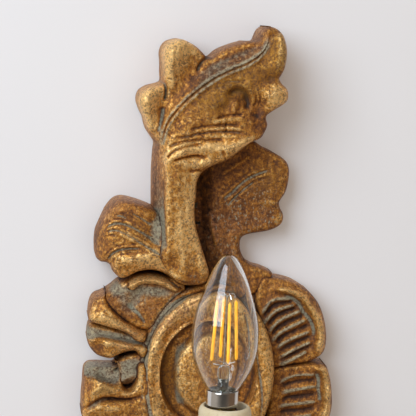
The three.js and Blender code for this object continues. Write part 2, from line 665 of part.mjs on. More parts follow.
function lampGlass() {
  const outside = GLASS_PROFILE;
  const inside = GLASS_PROFILE.map(([r, s]) => {
    const shrink = Math.min(r, GLASS_WALL);
    return [r - shrink, s > 70 ? s - GLASS_WALL : s];
  });
  inside[0] = [outside[0][0] - GLASS_WALL, outside[0][1]];
  return onCandle(turned([...inside].reverse().concat(outside), 24));
}

// The glass foot that seals the lamp: a flared tube pinched flat at the top.
function lampStem() {
  const flare = turned([[0, 13], [2.4, 9], [4.4, 5.2], [5.2, 4], [6.3, 4], [5.2, 5.2],
    [3.2, 9], [3, 15], [0, 15]], 16);
  const pinch = box(7, 2.6, 7, 0, 0, 17.5);
  return onCandle(join([flare, pinch]));
}

const filamentAngle = (index) => THREE.MathUtils.degToRad(20 + 90 * index);
const FILAMENT_SPREAD = { bottom: 6.6, top: 4.9 };

function filamentEnd(index, which) {
  const angle = filamentAngle(index);
  const r = FILAMENT_SPREAD[which];
  const s = which === 'bottom' ? FILAMENT_BOTTOM : FILAMENT_TOP;
  return new THREE.Vector3(r * Math.cos(angle), r * Math.sin(angle), s);
}

// A coated rod with a bare pin at each end.
function lampFilament(index) {
  const [low, high] = [filamentEnd(index, 'bottom'), filamentEnd(index, 'top')];
  const length = low.distanceTo(high);
  const shape = turned([
    [0, -1.6], [0.4, -1.6], [0.4, 0], [0.9, 0.3], [0.9, length - 0.3], [0.4, length],
    [0.4, length + 1.2], [0, length + 1.2],
  ], 10);
  const turn = new THREE.Quaternion().setFromUnitVectors(
    new THREE.Vector3(0, 0, 1), high.clone().sub(low).normalize());
  return onCandle(shape.applyQuaternion(turn).translate(low.x, low.y, low.z));
}

const WIRE_R = 0.35;

// A mast from the stem with four arms that arch over to the filament tops.
function lampSupportWires() {
  const mast = along(throughPoints([[0, 0, 21.4], [0, 0, 40], [0, 0, 58.5]]), 4, sectionShape(WIRE_R, 6));
  const arms = Array.from({ length: FILAMENTS }, (_, index) => {
    const end = filamentEnd(index, 'top').add(new THREE.Vector3(0, 0, 1.8));
    return along(throughPoints([
      [0, 0, 58], [end.x * 0.4, end.y * 0.4, 60], [end.x * 0.85, end.y * 0.85, 59.6],
      [end.x, end.y, end.z + 0.1],
    ]), 6, sectionShape(WIRE_R, 6));
  });
  return onCandle(join([mast, ...arms]));
}

// Each lead wire comes out of the stem and feeds two neighbouring filaments.
function lampLeadWire(first) {
  const ends = [first, (first + 1) % FILAMENTS].map((index) =>
    filamentEnd(index, 'bottom').add(new THREE.Vector3(0, 0, -2)));
  const middle = ends[0].clone().add(ends[1]).multiplyScalar(0.3);
  middle.x = Math.sign(middle.x) * Math.max(Math.abs(middle.x), 1.8);
  const arms = ends.map((end) => along(throughPoints([
    [middle.x * 0.8, 0, 21.3], [middle.x, middle.y * 0.5, 21.9], [end.x, end.y, end.z],
  ]), 5, sectionShape(WIRE_R, 6)));
  return onCandle(join(arms));
}

// The small circuit board inside the screw cap.
const lampDriver = () => onCandle(box(7.2, 1.2, 9.6, 0, 0, -6.4));

// ---- candle sleeve ------------------------------------------------------------------
const candleSleeve = () => onCandle(turnedRing([
  [SLEEVE_BORE_R, SLEEVE_FOOT], [SLEEVE_R - 0.4, SLEEVE_FOOT], [SLEEVE_R, SLEEVE_FOOT + 0.5],
  [SLEEVE_R, -3.6], [SLEEVE_R - 0.35, -1.9], [SLEEVE_R - 1.1, -0.6], [SLEEVE_R - 2, -0.05],
  [SLEEVE_BORE_R + 0.3, -0.1], [SLEEVE_BORE_R, -0.6],
], 32), SLEEVE_SHIFT);

// ---- assembly -----------------------------------------------------------------------
function piece(name, geometry, material) {
  const mesh = new THREE.Mesh(closedBody(geometry), material);
  mesh.name = name;
  return mesh;
}

const panelGroup = new THREE.Group();
panelGroup.add(
  piece('carved_panel', carvedPanel(), FINISH.giltWood),
  piece('hanger_plate', hangerPlate(), FINISH.steel),
  piece('hanger_screw_left', hangerScrew(-1), FINISH.steel),
  piece('hanger_screw_right', hangerScrew(1), FINISH.steel),
  piece('terminal_block', terminalBlock(), FINISH.ceramic),
  piece('terminal_block_screw_upper', blockScrew(BLOCK_SCREW_Z[0]), FINISH.brass),
  piece('terminal_block_screw_lower', blockScrew(BLOCK_SCREW_Z[1]), FINISH.brass),
  piece('terminal_block_fixing_screw', blockFixingScrew(), FINISH.steel),
);

const armGroup = new THREE.Group();
armGroup.add(
  piece('arm_tube', armTube(), FINISH.giltMetal),
  piece('arm_flange', armFlange(), FINISH.giltMetal),
  piece('arm_collar', armCollar(), FINISH.giltMetal),
  piece('arm_washer', armWasher(), FINISH.steel),
  piece('arm_nut', armNut(), FINISH.brass),
  piece('lead_live', lead(1), FINISH.live),
  piece('lead_neutral', lead(-1), FINISH.neutral),
  piece('candle_cup', candleCup(), FINISH.giltMetal),
  piece('drip_pan', dripPan(), FINISH.giltMetal),
  piece('sleeve_socket', sleeveSocket(), FINISH.giltMetal),
  piece('tube_nut', tubeNut(), FINISH.brass),
);
FLANGE_SCREW_ANGLES.forEach((_, index) => {
  armGroup.add(piece(`flange_screw_${index + 1}`, flangeScrew(index), FINISH.brass));
});

const holderGroup = new THREE.Group();
holderGroup.add(
  piece('holder_bracket', holderBracket(), FINISH.steel),
  piece('holder_fixing_screw', holderFixingScrew(), FINISH.steel),
  piece('holder_body', holderBody(), FINISH.bakelite),
  piece('holder_shell', holderShell(), FINISH.brass),
  piece('holder_contact', holderContact(), FINISH.brass),
  piece('holder_terminal_screw_right', holderTerminalScrew(1), FINISH.brass),
  piece('holder_terminal_screw_left', holderTerminalScrew(-1), FINISH.brass),
);

const lampGroup = new THREE.Group();
lampGroup.add(
  piece('lamp_tip_contact', lampTipContact(), FINISH.nickel),
  piece('lamp_insulator', lampInsulator(), FINISH.black),
  piece('lamp_cap', lampCap(), FINISH.nickel),
  piece('lamp_driver', lampDriver(), FINISH.board),
  piece('lamp_glass', lampGlass(), FINISH.glass),
  piece('lamp_stem', lampStem(), FINISH.glass),
  piece('lamp_support_wires', lampSupportWires(), FINISH.nickel),
  piece('lamp_lead_wire_rear', lampLeadWire(0), FINISH.nickel),
  piece('lamp_lead_wire_front', lampLeadWire(2), FINISH.nickel),
);
for (let index = 0; index < FILAMENTS; index += 1) {
  lampGroup.add(piece(`lamp_filament_${index + 1}`, lampFilament(index), FINISH.phosphor));
}

const sconce = new THREE.Group();
sconce.add(panelGroup, armGroup, holderGroup, lampGroup,
  piece('candle_sleeve', candleSleeve(), FINISH.sleeve));

export default sconce;
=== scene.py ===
import bmesh
import bpy
import math
import numpy as np
from mathutils import Matrix, Vector


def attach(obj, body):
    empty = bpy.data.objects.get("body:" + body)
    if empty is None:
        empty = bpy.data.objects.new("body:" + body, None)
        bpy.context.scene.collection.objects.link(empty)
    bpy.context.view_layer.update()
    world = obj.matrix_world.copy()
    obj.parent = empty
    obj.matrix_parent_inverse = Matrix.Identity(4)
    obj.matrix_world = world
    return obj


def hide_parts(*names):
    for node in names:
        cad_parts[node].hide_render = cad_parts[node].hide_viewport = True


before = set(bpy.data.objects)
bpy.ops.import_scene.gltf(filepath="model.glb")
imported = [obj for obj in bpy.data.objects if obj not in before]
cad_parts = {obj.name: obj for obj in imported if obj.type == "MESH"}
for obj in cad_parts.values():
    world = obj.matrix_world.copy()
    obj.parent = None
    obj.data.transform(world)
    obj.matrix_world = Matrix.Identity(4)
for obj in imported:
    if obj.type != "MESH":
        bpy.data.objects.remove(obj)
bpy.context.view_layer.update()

# ---- camera and studio ---------------------------------------------------------------
# The sconce hangs on a plain pale wall and is seen from a little to its left and from
# slightly above, through a long lens. Nothing here belongs to the object.
MM = 0.001


def colour(code):
    """Linear RGBA from a paint code such as B98A3C."""
    channels = [int(code[i:i + 2], 16) / 255 for i in (0, 2, 4)]
    linear = [c / 12.92 if c <= 0.04045 else ((c + 0.055) / 1.055) ** 2.4 for c in channels]
    return (*linear, 1.0)


camera_data = bpy.data.cameras.new("camera")
camera_data.sensor_width = 36
camera_data.lens = 128.1
camera_data.clip_start = 0.01
camera = bpy.data.objects.new("camera", camera_data)
camera.location = (-0.1017, -0.850, 0.2095)
camera.rotation_euler = (math.radians(90 - 7.7), 0, math.radians(-7.0))
bpy.context.scene.collection.objects.link(camera)
bpy.context.scene.camera = camera


def area_light(name, place, target, size, power, tint):
    data = bpy.data.lights.new(name, "AREA")
    data.shape = "RECTANGLE"
    data.size, data.size_y = size
    data.energy = power
    data.color = colour(tint)[:3]
    light = bpy.data.objects.new(name, data)
    light.location = place
    aim = Vector(target) - Vector(place)
    light.rotation_euler = aim.to_track_quat("-Z", "Y").to_euler()
    bpy.context.scene.collection.objects.link(light)
    return light


area_light("window", (-0.75, -1.0, 0.75), (0, 0, 0.05), (0.9, 1.1), 18.2, "E5F1FF")
fill = area_light("front_fill", (0.3, -1.4, 0.2), (0, 0, 0.05), (1.2, 1.2), 4.8, "FFF2E6")
fill.visible_glossy = False
area_light("rear_fill", (0.2, 1.2, 0.3), (0, 0, 0), (0.9, 0.9), 8, "FFFFFF")

world = bpy.data.worlds.new("studio")
world.use_nodes = True
room = world.node_tree
sky = room.nodes["Background"]
room_side = room.nodes.new("ShaderNodeSeparateXYZ")
room.links.new(room.nodes.new("ShaderNodeTexCoord").outputs["Generated"], room_side.inputs[0])
room_ramp = room.nodes.new("ShaderNodeValToRGB")
room_ramp.color_ramp.elements[0].position = 0.0
room_ramp.color_ramp.elements[0].color = colour("F4EADF")
room_ramp.color_ramp.elements[1].position = 0.75
room_ramp.color_ramp.elements[1].color = colour("A0826A")
room.links.new(room_side.outputs["X"], room_ramp.inputs[0])
room.links.new(room_ramp.outputs[0], sky.inputs["Color"])
room_back = room.nodes.new("ShaderNodeMapRange")        # the room is dim behind the eye
for index, limit in ((1, -1.0), (2, -0.6), (3, 0.06), (4, 0.5)):
    room_back.inputs[index].default_value = limit
room.links.new(room_side.outputs["Y"], room_back.inputs[0])
room_seen = room.nodes.new("ShaderNodeMix")
room_seen.inputs[2].default_value = 0.5
room.links.new(room.nodes.new("ShaderNodeLightPath").outputs["Is Glossy Ray"], room_seen.inputs[0])
room.links.new(room_back.outputs[0], room_seen.inputs[3])
room.links.new(room_seen.outputs[0], sky.inputs["Strength"])
bpy.context.scene.world = world
bpy.context.scene.view_settings.view_transform = "Standard"

wall_mesh = bpy.data.meshes.new("wall")
bm = bmesh.new()
bmesh.ops.create_grid(bm, x_segments=1, y_segments=1, size=1.6,
                      matrix=Matrix.Translation((0, 0.0012, 0)) @ Matrix.Rotation(math.pi / 2, 4, "X"))
bm.to_mesh(wall_mesh)
bm.free()
wall = bpy.data.objects.new("wall", wall_mesh)
bpy.context.scene.collection.objects.link(wall)
wall.visible_shadow = False
paint = bpy.data.materials.new("wall_paint")
paint.use_nodes = True
paint_nodes = paint.node_tree.nodes
paint_links = paint.node_tree.links
paint_shader = paint_nodes["Principled BSDF"]
paint_shader.inputs["Roughness"].default_value = 0.85
paint_shader.inputs["Base Color"].default_value = colour("E2E1E1")
paint_side = paint_nodes.new("ShaderNodeNewGeometry")
paint_clear = paint_nodes.new("ShaderNodeBsdfTransparent")
paint_mix = paint_nodes.new("ShaderNodeMixShader")
paint_links.new(paint_side.outputs["Backfacing"], paint_mix.inputs[0])
paint_links.new(paint_shader.outputs[0], paint_mix.inputs[1])
paint_links.new(paint_clear.outputs[0], paint_mix.inputs[2])
paint_links.new(paint_mix.outputs[0], paint_nodes["Material Output"].inputs["Surface"])
wall_mesh.materials.append(paint)

# ---- carved panel --------------------------------------------------------------------
# One block of limewood carved by hand as rococo leaves and a shell round an oval boss,
# covered with gesso and red clay, gilded, and toned with brown glaze and grey-green wax.
# Outlines are corners in millimetres, x to the right and z up, on the carver's drawing.
CHIP = 0.75                     # spacing of the carved surface's facets
EYE = (-101.7, 850.0, 209.5)    # where the drawing was made from: x, distance from the wall, z
DRAWN_AT = 20.0                 # the drawing's own distance from the wall
LEAST_HEIGHT = 2.0              # the thinnest an element gets above the wall
EDGE_TONE = 0.14                # how much darker the carving is along its outline, and how wide
EDGE_WIDTH = 1.1
LAYERS = ("patina", "tone", "clay", "fleck")
FOOT_FINISH = (0.52, 0.5, 0.6, 0)
OVAL_BAND = (39, 52)            # half sizes of the oval, and of the cove and boss inside it
OVAL_COVE = (29, 33)
OVAL_BOSS = (19, 24)


def smooth_line(corners, closed=False, step=CHIP):
    """Evenly spaced points on a smooth curve through the corners."""
    p = np.array(corners, float)
    if closed:
        ring = np.vstack([p[-1], p, p[0], p[1]])
        count = len(p)
    else:
        ring = np.vstack([2 * p[0] - p[1], p, 2 * p[-1] - p[-2]])
        count = len(p) - 1
    u = np.linspace(0, 1, 16, endpoint=False)[:, None]
    points = []
    for a, b, c, d in zip(ring[:count], ring[1:], ring[2:], ring[3:]):
        t0, t1, t2 = (max(np.hypot(*(q - r)), 1e-6) ** 0.5 for q, r in ((b, a), (c, b), (d, c)))
        leave = ((b - a) / t0 - (c - a) / (t0 + t1) + (c - b) / t1) * t1
        arrive = ((c - b) / t1 - (d - b) / (t1 + t2) + (d - c) / t2) * t1
        points.append((2 * u**3 - 3 * u**2 + 1) * b + (u**3 - 2 * u**2 + u) * leave
                      + (-2 * u**3 + 3 * u**2) * c + (u**3 - u**2) * arrive)
    dense = np.vstack(points + [ring[1] if closed else ring[-2]])
    length = np.concatenate([[0], np.cumsum(np.hypot(*np.diff(dense, axis=0).T))])
    wanted = np.linspace(0, length[-1], max(3, int(length[-1] / step)) + 1)
    line = np.column_stack([np.interp(wanted, length, dense[:, i]) for i in (0, 1)])
    return line[:-1] if closed else line


def reach(line, x, z, closed=False):
    """Each point's distance to a line, the place along it from 0 to 1, the nearest point on
    it and the line's direction there."""
    starts = line if closed else line[:-1]
    ends = np.roll(line, -1, axis=0) if closed else line[1:]
    best = np.full(x.shape, 1e9)
    place = np.zeros(x.shape)
    near = np.zeros((len(x), 2))
    heading = np.zeros((len(x), 2))
    for k, (a, b) in enumerate(zip(starts, ends)):
        run = b - a
        t = np.clip(((x - a[0]) * run[0] + (z - a[1]) * run[1]) / (run @ run), 0, 1)
        foot = a + t[:, None] * run
        d = (x - foot[:, 0]) ** 2 + (z - foot[:, 1]) ** 2
        closer = d < best
        best[closer] = d[closer]
        place[closer] = (k + t[closer]) / len(starts)
        near[closer] = foot[closer]
        heading[closer] = run / np.hypot(*run)
    return np.sqrt(best), place, near, heading


def is_inside(line, x, z):
    odd = np.zeros(x.shape, bool)
    for a, b in zip(line, np.roll(line, -1, axis=0)):
        if a[1] != b[1]:
            spans = (a[1] > z) != (b[1] > z)
            odd ^= spans & (x < (b[0] - a[0]) * (z - a[1]) / (b[1] - a[1]) + a[0])
    return odd


def turns_left(line):
    """Whether a closed line runs anticlockwise, with its inside on the left."""
    following = np.roll(line, -1, axis=0)
    return np.sum(line[:, 0] * following[:, 1] - following[:, 0] * line[:, 1]) > 0


def fade_in(value, low, high):
    t = np.clip((value - low) / (high - low), 0, 1)
    return t * t * (3 - 2 * t)


def blob(x, z, cx, cz, rx, rz, turn=0.0):
    """A soft round patch, 1 in its middle."""
    c, s = math.cos(math.radians(turn)), math.sin(math.radians(turn))
    u = ((x - cx) * c + (z - cz) * s) / rx
    v = (-(x - cx) * s + (z - cz) * c) / rz
    return np.exp(-(u * u + v * v))


def tool_marks(x, z):
    """The slight unevenness of hand carving."""
    return (0.34 * np.sin(0.31 * x + 0.17 * z + 1.3) * np.sin(0.27 * z - 0.11 * x + 0.7)
            + 0.18 * np.sin(0.83 * x - 0.52 * z) * np.sin(0.61 * z + 0.45 * x + 2.1)
            + 0.09 * np.sin(1.7 * x + 1.1 * z + 0.4) * np.sin(1.9 * z - 1.3 * x))


def relax(values, pairs, rounds, held=None):
    """Averages a value over neighbouring vertices, again and again."""
    count = len(values)
    ends, others = np.concatenate([pairs, pairs[:, ::-1]]).T
    share = np.bincount(ends, minlength=count) + 1.0
    start = values
    for _ in range(rounds):
        values = (values + np.bincount(ends, weights=values[others], minlength=count)) / share
        if held is not None:
            values = np.where(held, start, values)
    return values


def along_sight(x, z, height, d, outward, pairs):
    """Moves a drawn point along its line of sight to its real height above the wall. Sides
    that face the eye are drawn by their foot, and the others by their front edge."""
    facing = -outward[:, 0] * (x - EYE[0]) + outward[:, 1] * (EYE[2] - z)
    by_foot = fade_in(facing, -10, 40) * (1 - fade_in(d, 0, 12))
    seen_at = relax(height * (1 - 0.75 * by_foot), pairs, 20, held=d < 0.01)
    share = (EYE[1] - seen_at) / (EYE[1] - DRAWN_AT)
    return EYE[0] + share * (x - EYE[0]), EYE[2] + share * (z - EYE[2])


def carve(name, outline, top, roll, bumps=(), ridges=(), cuts=(), scores=(), tone=0.5,
          tones=(), patina=(), clay=(), fleck=(), shape=None, drawn=True):
    """A carved element as a closed solid. roll is the rounding's width and drop at the edge;
    bumps are (x, z, width, height, turn, rise); ridges are (line, width, height) and may name
    the wax left on them; cuts are (line, width, depth, wax left in it); scores are (line, gap,
    depth), a waxed groove between two raised lips. tones, patina, clay and fleck are soft
    patches of finish."""
    line = smooth_line(outline, closed=True)
    low, high = line.min(axis=0) - CHIP, line.max(axis=0) + CHIP
    cells = np.maximum(np.ceil((high - low) / CHIP).astype(int), 2)
    span = cells * CHIP
    middle = low + span / 2
    bm = bmesh.new()
    layers = {key: bm.verts.layers.float.new(key) for key in LAYERS}
    bmesh.ops.create_grid(
        bm, x_segments=int(cells[0]), y_segments=int(cells[1]), size=1,
        matrix=Matrix.Translation((middle[0], 0, middle[1])) @ Matrix.Rotation(math.pi / 2, 4, "X")
        @ Matrix.Diagonal((span[0] / 2, span[1] / 2, 1, 1)))
    place = np.array([v.co for v in bm.verts])
    within = is_inside(line, place[:, 0], place[:, 2])
    away = reach(line, place[:, 0], place[:, 2], closed=True)[0]
    outside = ~within & (away > 0.42 * CHIP)
    bmesh.ops.delete(bm, geom=[v for v, out in zip(list(bm.verts), outside) if out],
                     context="VERTS")
    for _ in range(6):
        stray = [v for v in bm.verts
                 if not v.link_faces or sum(e.is_boundary for e in v.link_edges) > 2]
        if not stray:
            break
        bmesh.ops.delete(bm, geom=stray, context="VERTS")
    rim = [v for v in bm.verts if v.is_boundary]
    rim_place = np.array([v.co for v in rim])
    near = reach(line, rim_place[:, 0], rim_place[:, 2], closed=True)[2]
    for vert, (x, z) in zip(rim, near):
        vert.co.x, vert.co.z = x, z
    bmesh.ops.smooth_vert(bm, verts=[v for v in bm.verts if not v.is_boundary], factor=0.5,
                          use_axis_x=True, use_axis_z=True)

    place = np.array([v.co for v in bm.verts])
    x, z = place[:, 0], place[:, 2]
    d, _, _, heading = reach(line, x, z, closed=True)
    outward = np.column_stack([heading[:, 1], -heading[:, 0]]) * (1 if turns_left(line) else -1)
    width, drop = roll
    inner = 1 - np.clip(d / width, 0, 1)
    height = top - drop * (1 - np.sqrt(np.clip(1 - inner**2, 0, 1))) + tool_marks(x, z)
    paint = {key: np.zeros(len(x)) for key in LAYERS}
    paint["tone"] += tone - EDGE_TONE * np.exp(-(d / EDGE_WIDTH) ** 2)
    for cx, cz, rx, rz, turn, rise in bumps:
        height += rise * blob(x, z, cx, cz, rx, rz, turn)
    if shape is not None:
        height = shape(x, z, d, height)
    for corners, width, rise, *wax in ridges:
        away, along, _, _ = reach(smooth_line(corners), x, z)
        body = np.exp(-(away / width) ** 2) * fade_in(np.minimum(along, 1 - along), -0.04, 0.12)
        height += rise * body
        paint["tone"] += 0.2 * body
        paint["patina"] += (wax[0] if wax else -0.3) * body
    for corners, width, depth, wax in cuts:
        away, along, _, _ = reach(smooth_line(corners), x, z)
        body = np.exp(-(away / width) ** 2) * fade_in(np.minimum(along, 1 - along), -0.03, 0.1)
        height -= depth * body
        paint["tone"] -= 0.24 * body
        paint["patina"] += wax * body
    for corners, gap, depth in scores:
        away, along, _, _ = reach(smooth_line(corners), x, z)
        ends = fade_in(np.minimum(along, 1 - along), -0.03, 0.1)
        core = np.exp(-(away / (0.66 * gap)) ** 2) * ends
        lips = np.exp(-((away - 1.4 * gap) / (0.5 * gap)) ** 2) * ends
        foot = np.exp(-((away - 2.4 * gap) / (0.5 * gap)) ** 2) * ends
        height += depth * (0.22 * lips - 0.8 * core - 0.2 * foot)
        paint["tone"] += 0.12 * lips - 0.16 * foot
        paint["patina"] += 0.95 * core + 0.2 * lips
    off_band = np.hypot(x / OVAL_BAND[0], z / OVAL_BAND[1]) - 1.0       # wax round the oval
    groove = np.exp(-(off_band / 0.03) ** 2) * drawn * fade_in(-x, 2, 16)
    paint["patina"] += 0.7 * groove
    paint["tone"] += 0.1 * groove
    for key, patches in (("tone", tones), ("patina", patina), ("clay", clay), ("fleck", fleck)):
        for cx, cz, rx, rz, turn, amount in patches:
            paint[key] += amount * blob(x, z, cx, cz, rx, rz, turn)
    height = np.maximum(height, LEAST_HEIGHT)
    if drawn:
        bm.verts.index_update()
        pairs = np.array([[v.index for v in e.verts] for e in bm.edges])
        x, z = along_sight(x, z, height, d, outward, pairs)
    for vert, px, pz, h, *values in zip(bm.verts, x, z, height, *(paint[key] for key in LAYERS)):
        vert.co = (px, -h, pz)
        for key, value in zip(LAYERS, values):
            vert[layers[key]] = value

    edges = [e for e in bm.edges if e.is_boundary]
    side = bmesh.ops.extrude_edge_only(bm, edges=edges)["geom"]
    for vert in (g for g in side if isinstance(g, bmesh.types.BMVert)):
        vert.co.y = 0
        for key, value in zip(LAYERS, FOOT_FINISH):
            vert[layers[key]] = value
    last = [g for g in side if isinstance(g, bmesh.types.BMEdge) and g.is_boundary]
    bmesh.ops.contextual_create(bm, geom=last)
    bmesh.ops.recalc_face_normals(bm, faces=bm.faces)
    bmesh.ops.triangulate(bm, faces=[f for f in bm.faces if len(f.verts) > 4])
    if bm.calc_volume(signed=True) < 0:
        bmesh.ops.reverse_faces(bm, faces=bm.faces)
    bmesh.ops.scale(bm, vec=(MM, MM, MM), verts=bm.verts)
    mesh = bpy.data.meshes.new(name)
    bm.to_mesh(mesh)
    bm.free()
    piece = bpy.data.objects.new(name, mesh)
    bpy.context.scene.collection.objects.link(piece)
    return piece


elements = []


# The oval: a broad rolled band round a cove and a domed boss.
def oval(half_width, half_height, cx=0.0, cz=0.0, count=40):
    return [(cx + half_width * math.cos(a), cz + half_height * math.sin(a))
            for a in np.linspace(0, 2 * math.pi, count, endpoint=False)]


def oval_shape(x, z, d, height):
    """The band rolls down to the cove inside it; the boss stands up from the cove."""
    cove = np.hypot(x / OVAL_COVE[0], (z + 0.5) / OVAL_COVE[1])
    boss = np.hypot(x / OVAL_BOSS[0], (z + 0.5) / OVAL_BOSS[1])
    band = height - 2.2 * np.exp(-((cove - 1) / 0.13) ** 2) * (cove > 1)
    floor = 19.5 + 0.8 * (cove - 1)
    wall_drop = fade_in(cove, 0.93, 1.0)
    dome = 22.6 + 5.4 * np.sqrt(np.clip(1 - np.clip(boss, 0, 1) ** 2.4, 0, 1))
    boss_edge = 1 - fade_in(boss, 0.95, 1.06)
    inner = floor + (dome - floor) * boss_edge
    return inner + (band - inner) * wall_drop


elements.append(carve(
    "oval", oval(*OVAL_BAND), 30, (5, 3.6), shape=oval_shape, tone=0.7,
    cuts=[([(-14, 48), (-21, 44.6), (-27, 39.6), (-32.4, 33), (-35.6, 26), (-37, 15), (-37.4, 5),
            (-37, -3), (-36, -10), (-34.6, -17), (-32, -26), (-27, -36)], 1.5, 1.0, 1.1),
          ([(21, 40), (26, 28), (28, 14), (29.6, 2), (31.4, -8), (32, -20), (30, -32)],
           1.1, 1.2, 0.9)],
    # Some of these patches are painted light from the upper left: the boss lighter at its left and
    # darker at its right, the cove's left slope darker, the ring's upper left brighter.
    tones=[(0, 43, 22, 8, 0, 0.1), (-29.6, -4, 1.8, 26, 0, 0.5), (34, -10, 6, 34, 0, -0.06),
           (24.5, 0, 4.4, 30, 0, -0.16), (-24, 4, 4.4, 28, 0, -0.2), (0, 29, 22, 4, 0, -0.2),
           (0, 0, 14, 20, 0, -0.16), (-8, 0, 9, 18, 0, 0.1), (8, -6, 12, 18, 0, -0.1),
           (-17, 38, 14, 6, 35, 0.36), (-32, 22, 6, 14, -20, 0.12), (-33.6, 0, 2, 24, 0, -0.1)],
    clay=[(-26, 30, 14, 12, 0, 0.8), (-14, 41, 16, 8, 20, 1.1), (-24, 0, 5, 26, 0, -0.8)],
    patina=[(-17.4, 2, 1.6, 17, 0, 0.95), (-14, 15, 4, 3, 45, 0.8), (-15, -15, 4, 3, -45, 0.9),
            (-12, 40, 14, 6, 20, 0.1), (-39, 0, 2, 40, 0, 0.4)]))

# The ground behind the elements, thin towards the edge and raised round the oval.
elements.append(carve(
    "board",
    [(-50, 8), (-62, 20), (-62, 42), (-51, 53), (-49, 60), (-56, 72), (-54, 94), (-38, 94),
     (-26, 100), (-26, 150), (-22, 180), (-8, 178), (0, 174), (30, 186), (38, 180), (34, 160),
     (26, 142), (28, 128), (40, 116), (36, 94), (12, 78), (14, 66), (30, 54), (54, 42), (62, 20),
     (54, 6), (66, -10), (66, -24), (56, -34), (60, -44), (42, -56), (48, -66), (34, -66),
     (26, -84), (0, -110), (-26, -84), (-34, -66), (-48, -66), (-42, -54), (-60, -44), (-64, -36),
     (-56, -28), (-66, -14), (-62, 0)],
    7, (1, 0.5), tone=0.3, patina=[(0, 0, 90, 90, 0, 0.5)], drawn=False))
elements.append(carve("ground", oval(52, 60, 0, -2, 60), 13, (3, 3), tone=0.3,
                      patina=[(0, 0, 90, 90, 0, 0.5)]))
elements.append(carve(
    "surround", oval(42.6, 55.6, 0, 0, 60), 22.6, (2, 1.6), tone=0.42,
    shape=lambda x, z, d, height: np.where(np.hypot(x / 36, z / 49) < 1, 12.0,
                                           height - 10.6 * fade_in(x, 4, 24)),
    bumps=[(-13, 52, 9, 4, 10, 4.6)], tones=[(-12, 52, 10, 4, 0, -0.16)],
    patina=[(0, 0, 90, 90, 0, 0.75), (-12, 52, 10, 4, 0, -0.5)], fleck=[(-12, 52, 10, 5, 0, 0.9)]))

# The long leaf: a stem at the left that turns over into the big crest leaf, with two
# turned-over lobes on its left edge.
MIDRIB = [(-29, 134), (-27.4, 137), (-24.1, 142.7), (-20.2, 148.6), (-15.6, 154), (-11, 158.6),
          (-5.7, 163.2), (-0.5, 167), (4.7, 170.4), (10, 173), (15.2, 175.3), (20.5, 177.3),
          (25.7, 180.2), (29, 183), (31.7, 186.8), (33.5, 191)]


def crest_shape(x, z, d, height):
    """The stem's left side slopes back to the wall. Above the midrib the leaf is hollowed,
    and the two lobes stand proud of it."""
    rib, _, near, _ = reach(smooth_line(MIDRIB), x, z)
    leaf = fade_in(z, 124, 142)
    above = fade_in(z - near[:, 1] - 0.5 * (x - near[:, 0]), -1.0, 1.5) * leaf
    height = height - above * (np.clip(rib, 0, 7) * 0.5 - np.clip(rib - 11, 0, 12) * 0.14)
    height = height + 1.8 * leaf * (1 - above) * np.exp(-((rib - 13) / 8) ** 2)
    height = height - 2.6 * leaf
    stem = 1 - fade_in(z, 124, 146)
    back = (1 - fade_in(x, -33.4, -23.0)) * fade_in(z, 66, 88)
    height = height - stem * (20 * back + 1.5 * fade_in(x, -17, -7))
    height = height - 4.5 * (1 - fade_in(z, 49, 68))
    joined = (1 - fade_in(x, -19, -13)) * (1 - fade_in(z, 62, 74))
    return height + joined * (35.2 - height)


